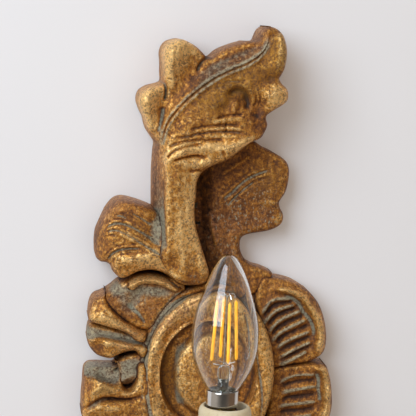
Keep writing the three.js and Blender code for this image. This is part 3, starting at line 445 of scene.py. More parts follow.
elements.append(carve(
    "long_leaf",
    [(-16, 54.5), (-21, 58), (-27, 68), (-31.2, 80), (-32.2, 96), (-32, 120), (-31.2, 130),
     (-30.6, 134.6), (-32.6, 138.2), (-35.6, 143.2), (-37, 149), (-39.4, 154.4), (-40.4, 158.8),
     (-38.9, 163.4), (-34.6, 166.2), (-30.2, 167.3), (-27.0, 168.7), (-26.8, 173.6),
     (-26.7, 179.5), (-27, 184.5), (-26, 188), (-23.6, 190.8), (-20.8, 191.9), (-17.5, 192.3),
     (-14.2, 192), (-9, 189.6), (-5.8, 187.4), (-2.5, 184.2), (-0.4, 182.4), (4.7, 186.1),
     (10, 188.4), (18, 190.8), (25.5, 191.4), (26.8, 194), (28.2, 196.8), (30.4, 198.8),
     (33.2, 199.5), (36.4, 198.9), (40, 197.3),
     (43, 194), (45, 188), (45.3, 183), (43.8, 175), (41.8, 171.3), (40.9, 169.6),
     (42.4, 166.8), (45.2, 164), (46.2, 160.5), (45.4, 157), (43, 154.9), (38.5, 152.2),
     (33.8, 148.8), (33.4, 146.8), (34.2, 143.6), (32.8, 139.8), (30.4, 136.2), (26, 134.2),
     (21.6, 131.4), (16.4, 127.2), (9.4, 122.8), (4, 121.2), (0, 119.2), (-3.8, 116.2),
     (-6, 111.8), (-6.6, 104), (-7.6, 96), (-7.4, 91), (-6.6, 85), (-5, 79), (-2.6, 71),
     (-0.4, 64), (0.6, 58), (-1, 53.6), (-8, 52)],
    40.5, (3.4, 4.6), shape=crest_shape, tone=0.52,
    bumps=[(39.5, 160, 7, 6, 0, 3.0), (41.5, 184, 3.6, 11, 0, 2.2), (34, 188, 3.4, 9, -20, -1.6),
           (10, 128, 10, 5, 12, 1.4), (31, 142, 5, 5, 0, -2.4), (29.5, 152.5, 4, 6, 0, -3.0),
           (37, 170, 5, 3.4, 0, -2.4), (9.6, 153, 4.2, 3.0, 0, -1.4), (19, 159, 5.6, 4.4, -35, -3.6),
           (15.6, 154.6, 2.0, 4.6, -24, 2.6), (-34, 158, 6, 8, 0, 2.6), (-19, 183, 8, 9, 0, 3.4),
           (-9, 176, 8, 5, 40, -0.8), (-26, 152, 4, 10, 0, -1.6)],
    ridges=[([(-18, 128.8), (-8, 130.8), (4, 131.2), (14, 131.4), (24, 135)], 2.8, 1.3),
            ([(-14, 120.5), (-6, 121.4), (3, 123.2)], 2.0, 1.0),
            ([(3, 145.4), (12, 146.8), (21, 146.4)], 0.8, 0.5),
            ([(-5, 139.6), (4, 141.2), (14, 141.8), (22, 140)], 0.7, 0.5),
            ([(-15, 134), (-6, 134.6), (6, 137), (16, 137)], 0.7, 0.4),
            ([(-21.6, 190), (-22, 182), (-21.6, 174), (-19, 165)], 2.2, 1.0),
            ([(43.4, 190), (44, 184), (43, 177)], 1.0, 1.0),
            ([(x - 0.9, z + 1.0) for x, z in MIDRIB], 1.1, 0.9, 1.0),
            ([(x + 0.9, z - 1.0) for x, z in MIDRIB], 1.1, 0.9, 0.9)],
    cuts=[(MIDRIB, 0.6, 1.4, -0.5),
          ([(12.6, 160.4), (14.6, 162.8), (18, 163.4), (21.4, 161.4), (23, 157), (22.4, 152)],
           1.7, 2.6, 0.0),
          ([(24.6, 151), (26.6, 149), (29.6, 149)], 1.0, 0.6, 0.3),
          ([(-19.5, 123.6), (-13.6, 125.2), (-7, 126.2), (-0.5, 125.4)], 0.7, 2.4, 0.0),
          ([(-10.6, 117.3), (-4.4, 118.4), (0.6, 119.8)], 0.7, 1.6, 0.2),
          ([(8.8, 129.4), (9.4, 126.6), (10.2, 124)], 0.7, 1.4, 0.2),
          ([(4.7, 147.2), (10, 148.8), (20, 149.4)], 0.6, 1.3, 0.2),
          ([(-9.7, 141.2), (-4.4, 142.4), (0.8, 143.1), (12.6, 143.8), (19, 143)], 0.7, 1.5, 0.4),
          ([(10.8, 145.4), (10.4, 142), (10.8, 139.4)], 0.45, 1.4, 0.0),
          ([(-19, 136.6), (-9.7, 137.5), (-4.4, 139), (10, 139.8), (19, 138.8), (22, 137.4)],
           0.7, 1.5, 0.55),
          ([(-23, 131.8), (-13.6, 134.4), (-4.4, 135.2), (9.5, 135.6)], 0.7, 1.3, 0.5),
          ([(-24.5, 126), (-18, 129.4), (-9.7, 131.8), (-2, 133)], 0.8, 1.4, 0.6),
          ([(8.7, 167.6), (14, 168.2), (22, 167.8)], 0.5, 0.6, 0.6),
          ([(4.7, 164.2), (8, 165), (11, 165.2)], 0.45, 0.5, 0.6),
          ([(26.4, 154), (28, 157.6), (27.6, 161)], 0.5, 1.0, 0.2),
          ([(29, 154.6), (30.2, 158), (29.8, 161.6)], 0.45, 0.8, 0.2),
          ([(32.6, 155.6), (33.6, 158), (33.4, 161)], 0.45, 0.8, 0.2),
          ([(-27.2, 169.4), (-25.6, 166.4), (-24.6, 162), (-24.4, 158)], 0.8, 3.4, 0.9),
          ([(-29.6, 141), (-27.8, 144.6), (-26, 149), (-25, 154)], 1.2, 1.2, 0.75),
          ([(-0.2, 183), (-2.6, 180.4), (-4.8, 177), (-6, 174)], 0.85, 2.6, 0.1),
          ([(-24.6, 74), (-26, 84), (-26.4, 100), (-26, 118)], 1.2, 0.6, 0.3)],
    # Some of these patches are painted light: the lobes' tops brighter as a painted highlight, the
    # leaf above the midrib darker as painted shade, and the eyelet hollow and the dents in the leaf
    # darker as painted shade.
    tones=[(-9, 54.6, 9, 3.6, 0, -0.5), (-14, 100, 8, 44, 0, 0.26),
           (-29, 96, 3.4, 44, 0, -0.2), (-6, 130, 22, 4.4, 8, 0.3),
           (10, 178, 24, 6, 30, -0.28), (-8, 164, 14, 6, 45, -0.22), (40, 160, 7, 6, 0, 0.42),
           (-12, 170, 9, 9, 0, -0.08), (8, 186, 20, 4, 20, -0.1), (14, 142, 16, 4, 0, 0.16),
           (31, 143, 5, 8, 0, -0.3), (27, 151, 6, 5, 0, -0.12), (18.6, 160, 6, 4.4, -35, -0.3),
           (42, 186, 3, 12, 0, 0.24), (-35, 157, 9, 13, 0, 0.7), (-20, 184, 11, 13, 0, 0.7),
           (-15, 78, 7, 16, 0, 0.16), (-26, 150, 3, 8, 0, -0.3), (35, 170, 6, 4, 0, -0.2),
           (16, 127, 8, 3, 30, -0.24), (-2, 120, 6, 3, 20, -0.14), (-18, 118, 3, 20, 0, -0.1),
           (30, 192, 4, 8, 0, -0.16)],
    clay=[(20, 170, 26, 9, 20, -0.8), (8, 158, 16, 8, 20, -0.8), (40, 186, 7, 14, 0, -1.0),
          (-14, 100, 8, 30, 0, 0.15), (15.6, 154.6, 3, 6, 0, 0.7), (-30, 120, 3, 30, 0, 0.5),
          (12, 134, 16, 5, 10, 0.3), (40, 160, 6, 5, 0, 0.2)],
    patina=[(-28, 86, 4.4, 20, 0, 0.9), (-29.4, 118, 3.2, 22, 0, 0.35), (18, 184, 20, 7, 20, 0.5),
            (31, 193, 5, 6, 0, 0.5), (-27, 137, 3, 5, -30, 0.5), (0, 174, 12, 6, 35, 0.4)],
    fleck=[(-9, 55, 9, 4, 0, 1.0)]))


# The plain leaf behind, low against the wall, with a hollow beside the stem that is painted dark as
# the stem's shadow.
def rear_shape(x, z, d, height):
    hollow = 1 - fade_in(x + 0.12 * (z - 60), -2, 11)
    return height - 7.5 * hollow - 1.4 * blob(x, z, 22, 94, 16, 8) + 0.8 * blob(x, z, 36, 110, 8, 12)


elements.append(carve(
    "rear_leaf",
    [(-14, 112), (2, 126), (18, 134), (26, 134.6), (30.9, 131.4), (34.8, 129.6), (39.3, 127),
     (43.2, 124.4), (46, 121.2), (46.9, 117), (46.2, 109.6), (44.6, 104.4), (42.6, 101.4),
     (41.2, 99), (41.8, 95.8), (43.4, 92.6), (43.4, 88.4), (41.6, 85.8), (38.2, 83.9),
     (33.7, 82.6), (24.7, 81.3), (21.6, 80.5), (19.4, 79), (18.6, 76.4), (18.6, 73),
     (19.6, 69.6), (21.4, 66.6), (25, 64.4), (30, 62.8), (34.7, 60.6), (37.4, 57.8), (36, 53),
     (22, 44), (0, 44), (-12, 60), (-16, 90)],
    16.5, (3.4, 3.6), shape=rear_shape, tone=0.33,
    scores=[([(8.4, 100.6), (14, 105), (19.7, 110.3), (25, 113.8), (30, 115.8), (35.6, 117.6)],
             1.25, 1.4),
            ([(11.2, 96.7), (15.2, 101.7), (20.8, 106.7), (26.8, 111.2)], 0.8, 1.1)],
    ridges=[([(8.5, 115.6), (18, 121.8), (25, 126.5)], 1.1, 0.9),
            ([(1.2, 92), (2.4, 83.8), (4.8, 74)], 1.1, 1.8),
            ([(24, 98), (32, 99), (39, 98.4)], 1.4, 0.5)],
    # The long dark patch beside the stem, at x 0, is the stem's painted shadow.
    tones=[(40, 112, 8, 16, 0, 0.1), (0, 100, 5, 34, 0, -0.24), (14, 120, 14, 4, 30, -0.16),
           (41, 89, 3, 3, 0, 0.36), (28, 56, 12, 8, 0, 0.1), (22, 118, 12, 5, 30, 0.1)],
    clay=[(12, 84, 12, 22, 0, 0.55), (2.6, 83, 2.4, 12, 0, 1.4), (34, 112, 14, 16, 0, -0.5)],
    patina=[(4, 100, 4, 26, 0, 0.3), (28, 92, 14, 8, 0, 0.18)],
    fleck=[(14, 82, 14, 20, 0, 1.4), (30, 91, 14, 8, 0, 1.2), (34, 106, 12, 10, 0, 0.5)]))


# The left leaf sweeps down from the stem in long double-cut folds.
def left_shape(x, z, d, height):
    """Its outer half turns back, and two soft folds run along it."""
    fall = np.clip(-46 - x, 0, 30)
    return height + 0.1 * (x + 36) - 0.012 * fall**2


elements.append(carve(
    "left_leaf",
    [(-24, 94), (-32.4, 98.6), (-36, 100.2), (-41.3, 102.2), (-46, 103.6), (-50, 104.1),
     (-53.2, 103.2), (-55.8, 101), (-58.5, 97.6), (-60.5, 93.6), (-62.4, 89.5), (-64.1, 85.5),
     (-64.8, 81), (-64.8, 74), (-63.8, 69.4), (-61.4, 67), (-58.2, 66.4), (-56, 65),
     (-55, 62.2), (-53, 59.6), (-49.6, 57), (-46, 57.8), (-40, 60.6), (-32, 61.4),
     (-25.4, 59.6), (-20.6, 56.4), (-16, 53), (-8, 52), (-1, 54), (-6, 74), (-14, 90)],
    33, (6.5, 8.5), shape=left_shape, tone=0.5,
    bumps=[(-44, 81.6, 15, 3.0, -24, 1.8), (-42, 67.8, 15, 3.6, 4, 2.4), (-52, 78, 8, 4, 0, 0.8),
           (-28.5, 92, 5, 13, 0, -4.0), (-46, 98, 10, 4, 0, 0.8)],
    scores=[([(-43.9, 95.6), (-38.6, 92), (-32.7, 87.8)], 0.9, 1.2),
            ([(-59.4, 88.2), (-55.4, 89.2), (-51.8, 88.8), (-45, 86.8), (-38.6, 83.3),
              (-32, 79), (-27.6, 75.5)], 1.15, 1.9),
            ([(-58.4, 85.4), (-54.4, 85.2), (-50.5, 84), (-43.9, 80.6), (-38.6, 77.1),
              (-32, 72.8), (-26.4, 69.1)], 1.1, 1.8),
            ([(-52.4, 94.2), (-49.6, 93.2), (-46.4, 91.4)], 0.8, 0.8),
            ([(-57.4, 67.6), (-54.4, 71.2), (-48.6, 73.4), (-38.8, 73.6)], 1.1, 2.1),
            ([(-46.7, 67.2), (-41.4, 67.8), (-32.2, 65.2)], 0.7, 0.9)],
    tones=[(-61, 84, 5, 18, 10, -0.24), (-50, 100, 12, 4, 0, -0.16), (-34, 67, 16, 4, 0, 0.3),
           (-40, 78, 14, 3, -26, 0.12), (-22, 66, 12, 6, 0, 0.2), (-52, 80, 6, 3, 0, 0.1)],
    clay=[(-54, 97, 12, 9, 0, 0.7), (-16, 68, 12, 10, 0, -0.2), (-40, 84, 12, 6, -20, -0.5)],
    patina=[(-29, 88, 4.4, 14, 0, 1.1), (-54, 97, 12, 8, 20, 0.3), (-9, 55, 8, 3, 0, 0.3),
            (-58, 74, 5, 8, 0, 0.2)],
    fleck=[(-9, 55.4, 8, 2.4, 0, 0.9)]))

# A rolled collar under the left leaf, and the stippled hollow between it and the oval.
elements.append(carve(
    "hollow", [(-46, 58.6), (-50, 57.4), (-52.6, 56), (-55.4, 53.6), (-60, 50), (-60, 44),
               (-55, 38), (-47, 32), (-38, 27), (-33, 27), (-27, 36), (-20, 44), (-13, 49),
               (-16, 56), (-30, 60)],
    23.4, (2.6, 1.8), tone=0.46,
    bumps=[(-47, 50, 3, 10, 25, 1.6), (-34, 42, 7, 8, 0, 0.8), (-42, 44, 2.4, 8, -30, -1.0)],
    cuts=[([(-46, 42), (-40, 36), (-35.8, 30)], 0.9, 1.0, 0.6)],
    clay=[(-33, 40, 5, 6, 0, 1.4)], tones=[(-33, 40, 5, 6, 0, 0.16)],
    patina=[(-45, 44, 10, 12, 20, 0.75), (-30, 49, 12, 4.4, -12, 1.0), (-53, 54, 6, 5, 0, 1.0)],
    fleck=[(-38, 44, 12, 10, 0, 0.9)]))
elements.append(carve(
    "collar", [(-47, 53), (-47, 57), (-43.6, 60.4), (-38, 61.8), (-32, 61.6), (-26, 60),
               (-20, 56), (-16, 51.6), (-19, 48), (-23, 50), (-28, 52.2), (-33, 53.2),
               (-39, 52.6), (-43.4, 49.6)],
    29.5, (3.2, 6), tone=0.72,
    ridges=[([(-44, 54.6), (-38, 56.8), (-31, 56.8), (-25, 54.6)], 2.0, 1.4)],
    cuts=[([(-46, 58), (-40, 60.8), (-32, 60.9), (-25.5, 59), (-20, 55), (-17, 51.6)],
           1.1, 2.4, 1.0)],
    tones=[(-21, 52.6, 5, 4, 0, -0.3)]))

# Plump fingers that spread from the oval to the left edge, with wide waxed valleys between.
elements.append(carve(
    "finger_high",
    [(-59.4, 50.8), (-62, 49.8), (-65.3, 48.6), (-67.4, 45.8), (-68.5, 42),
     (-68.9, 37.4), (-68.5, 34.2), (-65, 31.6), (-61, 30.1), (-55, 28.1), (-50, 26.4),
     (-45.6, 24.2), (-41, 20), (-36, 20), (-36, 28.6), (-41, 30.8), (-46, 34), (-50, 37.2),
     (-54, 41.2), (-57, 45), (-58.6, 48.6)],
    28, (3.4, 6.5), tone=0.54,
    bumps=[(-64, 46, 6, 5, 30, -3.0)],
    ridges=[([(-62, 36.8), (-56, 34), (-50, 30.4), (-45, 27.4), (-40, 24)], 2.4, 1.6)],
    tones=[(-63, 46, 6, 5, 20, -0.16), (-58, 36, 7, 3, -25, 0.2), (-51, 31, 6, 2.4, -30, 0.28)],
    clay=[(-44, 26, 8, 5, 0, 1.3), (-63, 45, 6, 8, 0, 0.4), (-57, 37, 5, 3, 0, -0.6)],
    patina=[(-56, 50, 4, 4, 0, 0.5), (-62, 48, 6, 3, 0, 0.3), (-55, 28.6, 12, 0.9, -20, 0.5)]))


def valley_shape(x, z, d, height):
    """Its upper side is hollowed to lie well under the finger above."""
    crest = 20.2 + 0.06 * (x + 50)
    return height - 7.0 * fade_in(z + 0.3 * (x + 54), crest - 0.6, crest + 4.6)


elements.append(carve(
    "finger_low",
    [(-68.2, 33.2), (-69.4, 30), (-69.8, 25), (-69.4, 21.4), (-68.4, 18.4), (-66.6, 15.6),
     (-64, 13), (-60, 11.3), (-56, 10.6), (-53.6, 11.6), (-50, 13.2), (-45, 14.6),
     (-42, 14.4), (-38, 10), (-34, 14), (-34, 22), (-40, 26), (-47, 29), (-54, 31.4),
     (-62, 33), (-65, 33.6)],
    27.5, (3.6, 7), shape=valley_shape, tone=0.5,
    bumps=[(-64, 16, 6, 4, -40, -3.4)],
    ridges=[([(-60, 20), (-54, 19), (-48, 18), (-42, 17.6)], 2.2, 1.2)],
    tones=[(-65, 17, 5, 6, 0, -0.26), (-54, 18.6, 10, 1.8, -6, 0.26)],
    clay=[(-46, 18, 9, 4, 0, 1.2), (-65, 16, 4, 6, 0, 0.5)],
    patina=[(-56, 26, 13, 4.4, -14, 1.3), (-67, 28, 4, 4.4, 0, 1.3), (-43, 20, 6, 5, 0, 0.7)]))
elements.append(carve(
    "step", [(-54.4, 10.8), (-52.4, 8), (-51.8, 4.6), (-52.2, 1), (-54, -2), (-52, -4.6), (-47, -5),
             (-43, -4), (-38, 0), (-36, 8), (-39, 15.4), (-45, 15.6), (-50, 14)],
    22.4, (2.2, 1.6), shape=lambda x, z, d, height: height - 4 * fade_in(-z, 0, 5),
    tone=0.4, patina=[(-47, 6, 8, 15, 0, 1.2)], fleck=[(-46, 6, 5, 8, 0, 0.5)]))


SCOOP_EDGE = [(-74, 4.6), (-69, 3.6), (-65.4, 2.4), (-62.4, -1.6), (-59.6, -3.6), (-57, -4.1),
              (-54, -3.7), (-51.6, -2), (-50, 2), (-48.6, 12)]


def scoop_shape(x, z, d, height):
    """Its top is scooped out to a thin back edge."""
    edge_x, edge_z = np.array(SCOOP_EDGE).T
    past = z - np.interp(x, edge_x, edge_z)
    bowl = 22 - 5 * (1 - np.exp(-np.clip(past, 0, 20) / 4)) - 4 * blob(x, z, -52.8, 5, 1.8, 2.2)
    return np.where((past > 0) & (x < -48.8), np.minimum(height, bowl), height)


elements.append(carve(
    "lower_finger",
    [(-72, 4), (-71.4, 6.4), (-69.4, 8.4), (-65, 8.9), (-60, 8.5), (-54, 8.3), (-51.6, 8.6),
     (-50, 5), (-50.6, 0), (-49, -3.6), (-45.6, -3.4), (-43.4, 0), (-42.2, 5), (-41.8, 11),
     (-38, 12), (-34, 4), (-32, -6), (-33, -18), (-34, -26), (-46, -31), (-60, -33), (-70, -29.6),
     (-72.6, -24), (-73.6, -19), (-73.5, -14.6), (-73.2, -9), (-72.6, -3.4)],
    28.5, (3.6, 7), shape=scoop_shape, tone=0.5,
    bumps=[(-61, -7, 9, 3.4, -4, 2.2), (-56, -13.6, 15, 1.5, 2, -4.6), (-58, -19, 14, 3, -4, 2),
           (-54, -26.4, 14, 1.6, -4, -3.6), (-70, -2, 3, 10, 0, -3)],
    # Painted light: the bright patch at (-61, -7.4) is a painted highlight, and the dark patch at
    # (-52, -12.6) is painted shadow in the groove.
    tones=[(-61, -7.4, 7, 3.0, 0, 0.5), (-52, -12.6, 9, 1.8, 4, -0.4), (-70, 0, 3.4, 9, 0, -0.12),
           (-52, -19.6, 10, 2.2, 0, 0.26), (-46, -8, 5, 3, 0, 0.1), (-41, 4, 1.6, 9, 0, 0.34)],
    clay=[(-70, 0, 3.4, 7, 0, 0.9), (-61, -7, 8, 4, 0, -0.9), (-46, -6, 6, 6, 0, 0.5)],
    patina=[(-57.6, 3.6, 9, 6.6, 0, 1.8), (-69, 8, 5, 3.6, 0, 1.4), (-66, -16, 8, 2, 0, 0.8),
            (-56, -26, 12, 2, 0, 0.8)]))
elements.append(carve(
    "lowest_finger",
    [(-70, -27), (-72.2, -33), (-71.6, -40), (-68.6, -46.6), (-61, -53), (-50, -54.4),
     (-38, -50), (-26, -40), (-30, -22), (-50, -24), (-62, -28)],
    27, (5, 8), tone=0.5,
    bumps=[(-52, -36, 16, 2.6, 12, 1.8), (-50, -43, 14, 1.8, 16, -3.6)],
    tones=[(-56, -36, 12, 3, 10, 0.3)], patina=[(-52, -43, 14, 2.2, 16, 0.8)],
    clay=[(-60, -46, 8, 5, 0, 0.5)]))


# The shell on the right: three scallops with a rolled gold rim, fine waxed ribs and dark
# flutes between them.
def scallop(name, outline, rim, ribs):
    between = [[((a[0] + b[0]) / 2, (a[1] + b[1]) / 2) for a, b in zip(first, second)]
               for first, second in zip(ribs, ribs[1:])]
    rim_line = smooth_line(rim)
    middle = np.mean(np.array(outline), axis=0)
    inner = [tuple(point + (middle - point) * 5.2 / np.hypot(*(middle - point)))
             for point in rim_line[6:-6:6]]
    elements.append(carve(
        name, outline, 18.2, (2.4, 3.4), tone=0.42,
        ridges=[(rim, 2.5, 5.4)] + [(rib, 1.1, 2.0, 1.5) for rib in ribs],
        cuts=[(flute, 1.2, 1.5, -0.5) for flute in between] + [(inner, 1.0, 0.7, 1.2)],
        tones=[(*flute[1], 7, 1.4, math.degrees(math.atan2(flute[2][1] - flute[0][1],
                                                           flute[2][0] - flute[0][0])), -0.12)
               for flute in between],
        clay=[(*point, 5, 5, 0, -0.4) for point in rim[2:-2:2]],
        patina=[(*rib[0], 3, 2.4, 0, 0.5) for rib in ribs]))


scallop(
    "scallop_high",
    [(26, 46), (30, 58), (37.2, 57.3), (42.8, 56.3), (48, 54.6), (53, 51.7), (57.2, 48.6),
     (61.2, 44.4), (65, 39), (67.8, 31.6), (69.3, 24), (69.6, 18), (68.6, 12), (66.3, 8.8),
     (60, 5.6), (50, 4), (36, 3), (32, 20)],
    [(38, 49.6), (44.6, 49.2), (50.6, 46.8), (56, 42.8), (60.4, 37), (63.8, 31), (65.8, 24.4),
     (66.2, 18.6), (65, 13), (62, 9.6)],
    [[(30.4, 37.2), (37, 42), (48.6, 42.8)], [(31.4, 31.8), (39.4, 35.8), (51, 39.4)],
     [(35, 26.4), (43.6, 31), (55, 36)], [(37, 20.6), (46, 25), (57.8, 30.4)],
     [(40.2, 15), (49, 19), (60.4, 23.4)], [(42.8, 8.6), (51, 12.8), (61, 17)],
     [(42.4, 4.2), (50, 7.2), (58.6, 11.6)]])
scallop(
    "scallop_middle",
    [(36, 4), (50, 6.4), (62, 7), (66.2, 5.8), (69.6, 2.4), (71.6, -3), (72.7, -9), (73.3, -15),
     (73.3, -22), (72, -28), (68.4, -33), (54, -36), (34, -34), (34, -12)],
    [(61, 4.4), (65.6, 2.6), (68.8, -2), (70.2, -9), (70.4, -17), (69.6, -25), (66.4, -30)],
    [[(42.4, -5.4), (52, -1.8), (63, -2.4)], [(44.4, -12.6), (54, -11), (64.4, -9.6)],
     [(42, -20.4), (53, -19.8), (64.6, -18.8)], [(42, -28), (52, -28), (62, -26.4)]])
scallop(
    "scallop_low",
    [(58, -28), (67.6, -30), (71.4, -34.6), (72.2, -40), (70.4, -47), (64.6, -55), (56, -61),
     (44, -64), (28, -58), (24, -44), (36, -24)],
    [(62, -30.6), (66.8, -34), (68.4, -41), (64.6, -49), (56.8, -56), (46, -60)],
    [[(40, -31), (50, -33), (61, -36.4)], [(38, -38), (48, -41), (58.4, -45.6)],
     [(33, -44), (42, -49), (50, -54)]])

# The foot: scrolls either side of a hanging leaf, with a turned seat for the arm.
for side in (-1, 1):
    turn = [(side * x, z) for x, z in [(50, -56), (53, -64), (48, -71), (40, -70), (38, -63),
                                       (43, -60)]]
    elements.append(carve(
        "scroll_left" if side < 0 else "scroll_right",
        [(side * x, z) for x, z in [(57, -50), (60, -60), (56, -71), (47, -78), (36, -77),
                                    (28, -70), (22, -56), (34, -42)]],
        25, (5, 8), tone=0.5, cuts=[(turn, 1.5, 3.8, 0.8)],
        ridges=[([(side * x, z) for x, z in [(55, -56), (55, -67), (47, -75), (37, -73)]], 1.8, 1.4)],
        clay=[(side * 46, -66, 10, 8, 0, 0.4)]))
LEAF_CUTS = [([(4, -90), (14, -93), (24, -96)], 1.0, 1.8, 0.7),
             ([(4, -99), (10, -102), (16, -105)], 0.9, 1.6, 0.7),
             ([(18, -83), (26, -85), (33, -81)], 1.0, 1.8, 0.7)]
elements.append(carve(
    "hanging_leaf",
    [(-22, -50), (-32, -64), (-34, -78), (-28, -90), (-19, -101), (-9, -111), (-3, -120),
     (1, -121.8), (5, -116), (12, -108), (22, -98), (30, -88), (34, -76), (31, -63), (22, -50)],
    26, (4.5, 8), tone=0.5, scores=[([(0, -88), (1, -100), (1, -116)], 1.3, 1.9)],
    cuts=LEAF_CUTS + [([(-x, z) for x, z in line], *rest) for line, *rest in LEAF_CUTS],
    bumps=[(-14, -88, 5, 10, 30, 1.4), (14, -88, 5, 10, -30, 1.4)],
    tones=[(-10, -98, 8, 12, 30, 0.16), (12, -96, 8, 12, -30, 0.1)], drawn=False))


def seat_shape(x, z, d, height):
    return np.where(d > 1.6, 30.0, 30.0 - 0.9 * (1 - d / 1.6) ** 2)


elements.append(carve("arm_seat", oval(19, 19, 0, -70, 48), 30, (1.6, 1), tone=0.46,
                      shape=seat_shape, drawn=False))

bpy.context.view_layer.update()
panel = elements[0]
panel.name = "panel_carving"
for other in elements[1:]:
    weld = panel.modifiers.new("weld", "BOOLEAN")
    weld.operation = "UNION"
    weld.solver = "MANIFOLD"
    weld.object = other

# Sunk from the back: a pocket for the wiring, a recess for the hanging plate with room for
# the hook behind it, and the hole for the arm's threaded end.
ARM_Z = -70.0
TUBE_HOLE_R = 4.8
HANGER_Z = 94.0
RECESSES = {"wiring": (21, 16, 17, ARM_Z), "plate": (22, 10, 2.4, HANGER_Z),
            "keyhole": (7, 8.5, 9, HANGER_Z)}
for name, (half_width, half_height, depth, z) in RECESSES.items():
    bm = bmesh.new()
    bmesh.ops.create_cube(bm, size=1, matrix=Matrix.Translation((0, 0.001, z * MM)) @ Matrix.Diagonal(
        (2 * half_width * MM, 2 * depth * MM + 0.002, 2 * half_height * MM, 1)))
    mesh = bpy.data.meshes.new(name)
    bm.to_mesh(mesh)
    bm.free()
    elements.append(bpy.data.objects.new(name + "_recess", mesh))
bm = bmesh.new()
bmesh.ops.create_cone(bm, cap_ends=True, segments=48, radius1=TUBE_HOLE_R * MM,
                      radius2=TUBE_HOLE_R * MM, depth=50 * MM,
                      matrix=Matrix.Translation((0, -35 * MM, ARM_Z * MM))
                      @ Matrix.Rotation(math.pi / 2, 4, "X"))
mesh = bpy.data.meshes.new("tube_hole")
bm.to_mesh(mesh)
bm.free()
elements.append(bpy.data.objects.new("tube_hole", mesh))
for tool in elements[-4:]:
    bpy.context.scene.collection.objects.link(tool)
    knife = panel.modifiers.new("knife", "BOOLEAN")
    knife.operation = "DIFFERENCE"
    knife.solver = "MANIFOLD"
    knife.object = tool

bpy.context.view_layer.update()
solid = bpy.data.meshes.new_from_object(panel.evaluated_get(bpy.context.evaluated_depsgraph_get()))
panel.modifiers.clear()
panel.data = solid
for other in elements[1:]:
    bpy.data.objects.remove(other)

# Wear, glaze and wax settle by shape: ridges are burnished and hollows keep their glaze and wax;
# hollows are also painted darker as shade, the deepest near black.
count = len(solid.vertices)
place = np.empty(count * 3)
solid.vertices.foreach_get("co", place)
place = place.reshape(-1, 3)
pairs = np.empty(len(solid.edges) * 2, int)
solid.edges.foreach_get("vertices", pairs)
pairs = pairs.reshape(-1, 2)

height = -place[:, 1] / MM
on_face = height > 1.0
at_edge = np.zeros(count, bool)
at_edge[pairs[on_face[pairs].sum(axis=1) == 1].ravel()] = True
pairs = pairs[on_face[pairs].all(axis=1)]
near_hollow = relax(height, pairs, 5) - height
far_hollow = relax(height, pairs, 40) - height
hollow = np.clip(near_hollow / 0.45, -1, 1) * 0.6 + np.clip(far_hollow / 3.0, -1, 1) * 0.6
hollow = np.where(at_edge, np.minimum(hollow, -0.1), hollow)
hollow = np.where(on_face, relax(hollow, pairs, 1), 0.0)
layer = solid.attributes.new("hollow", "FLOAT", "POINT")
layer.data.foreach_set("value", hollow.astype(np.float32))

facing = np.empty(len(solid.polygons) * 3)
solid.polygons.foreach_get("normal", facing)
layer = solid.attributes.new("bare", "FLOAT", "FACE")
layer.data.foreach_set("value", (facing.reshape(-1, 3)[:, 1] > 0.7).astype(np.float32))
solid.shade_smooth()
solid.set_sharp_from_angle(angle=math.radians(55))


def node(tree, kind, **settings):
    made = tree.nodes.new(kind)
    for key, value in settings.items():
        setattr(made, key, value)
    return made


def feed(tree, target, socket, source):
    """Gives a socket a value, or joins it to another node's output."""
    if hasattr(source, "is_output"):
        tree.links.new(source, target.inputs[socket])
    else:
        target.inputs[socket].default_value = source


def maths(tree, operation, a, b):
    made = node(tree, "ShaderNodeMath", operation=operation)
    feed(tree, made, 0, a)
    feed(tree, made, 1, b)
    return made.outputs[0]


def blend_colour(tree, share, a, b):
    made = node(tree, "ShaderNodeMix", data_type="RGBA")
    feed(tree, made, 0, share)
    feed(tree, made, 6, a)
    feed(tree, made, 7, b)
    return made.outputs[2]


def grain(tree, scale, detail, rough, stretch=(1, 1, 1)):
    """Noise on the object's own coordinates; scale is in cycles per metre."""
    where = node(tree, "ShaderNodeTexCoord")
    mapping = node(tree, "ShaderNodeMapping")
    mapping.inputs["Scale"].default_value = stretch
    tree.links.new(where.outputs["Object"], mapping.inputs["Vector"])
    noise = node(tree, "ShaderNodeTexNoise")
    noise.inputs["Scale"].default_value = scale
    noise.inputs["Detail"].default_value = detail
    noise.inputs["Roughness"].default_value = rough
    tree.links.new(mapping.outputs[0], noise.inputs["Vector"])
    return noise.outputs["Fac"]


def spread(tree, value, low, high, out_low=0.0, out_high=1.0):
    made = node(tree, "ShaderNodeMapRange", interpolation_type="SMOOTHSTEP")
    feed(tree, made, 0, value)
    for index, limit in zip((1, 2, 3, 4), (low, high, out_low, out_high)):
        made.inputs[index].default_value = limit
    return made.outputs[0]


def raise_grain(tree, shader, height, strength, distance):
    """The fine unevenness of a finish, too small to carve."""
    bump = node(tree, "ShaderNodeBump")
    bump.inputs["Strength"].default_value = strength
    bump.inputs["Distance"].default_value = distance
    tree.links.new(height, bump.inputs["Height"])
    tree.links.new(bump.outputs[0], shader.inputs["Normal"])


def around_zero(tree, noise, amount):
    return maths(tree, "MULTIPLY", maths(tree, "SUBTRACT", noise, 0.5), amount)


def new_material(name):
    material = bpy.data.materials.new(name)
    material.use_nodes = True
    return material, material.node_tree, material.node_tree.nodes["Principled BSDF"]


def attribute(tree, name):
    return node(tree, "ShaderNodeAttribute", attribute_name=name).outputs["Fac"]


def colour_ramp(tree, value, stops):
    ramp = node(tree, "ShaderNodeValToRGB")
    while len(ramp.color_ramp.elements) < len(stops):
        ramp.color_ramp.elements.new(0.5)
    for element, (position, code) in zip(ramp.color_ramp.elements, stops):
        element.position = position
        element.color = colour(code)
    tree.links.new(value, ramp.inputs[0])
    return ramp.outputs[0]


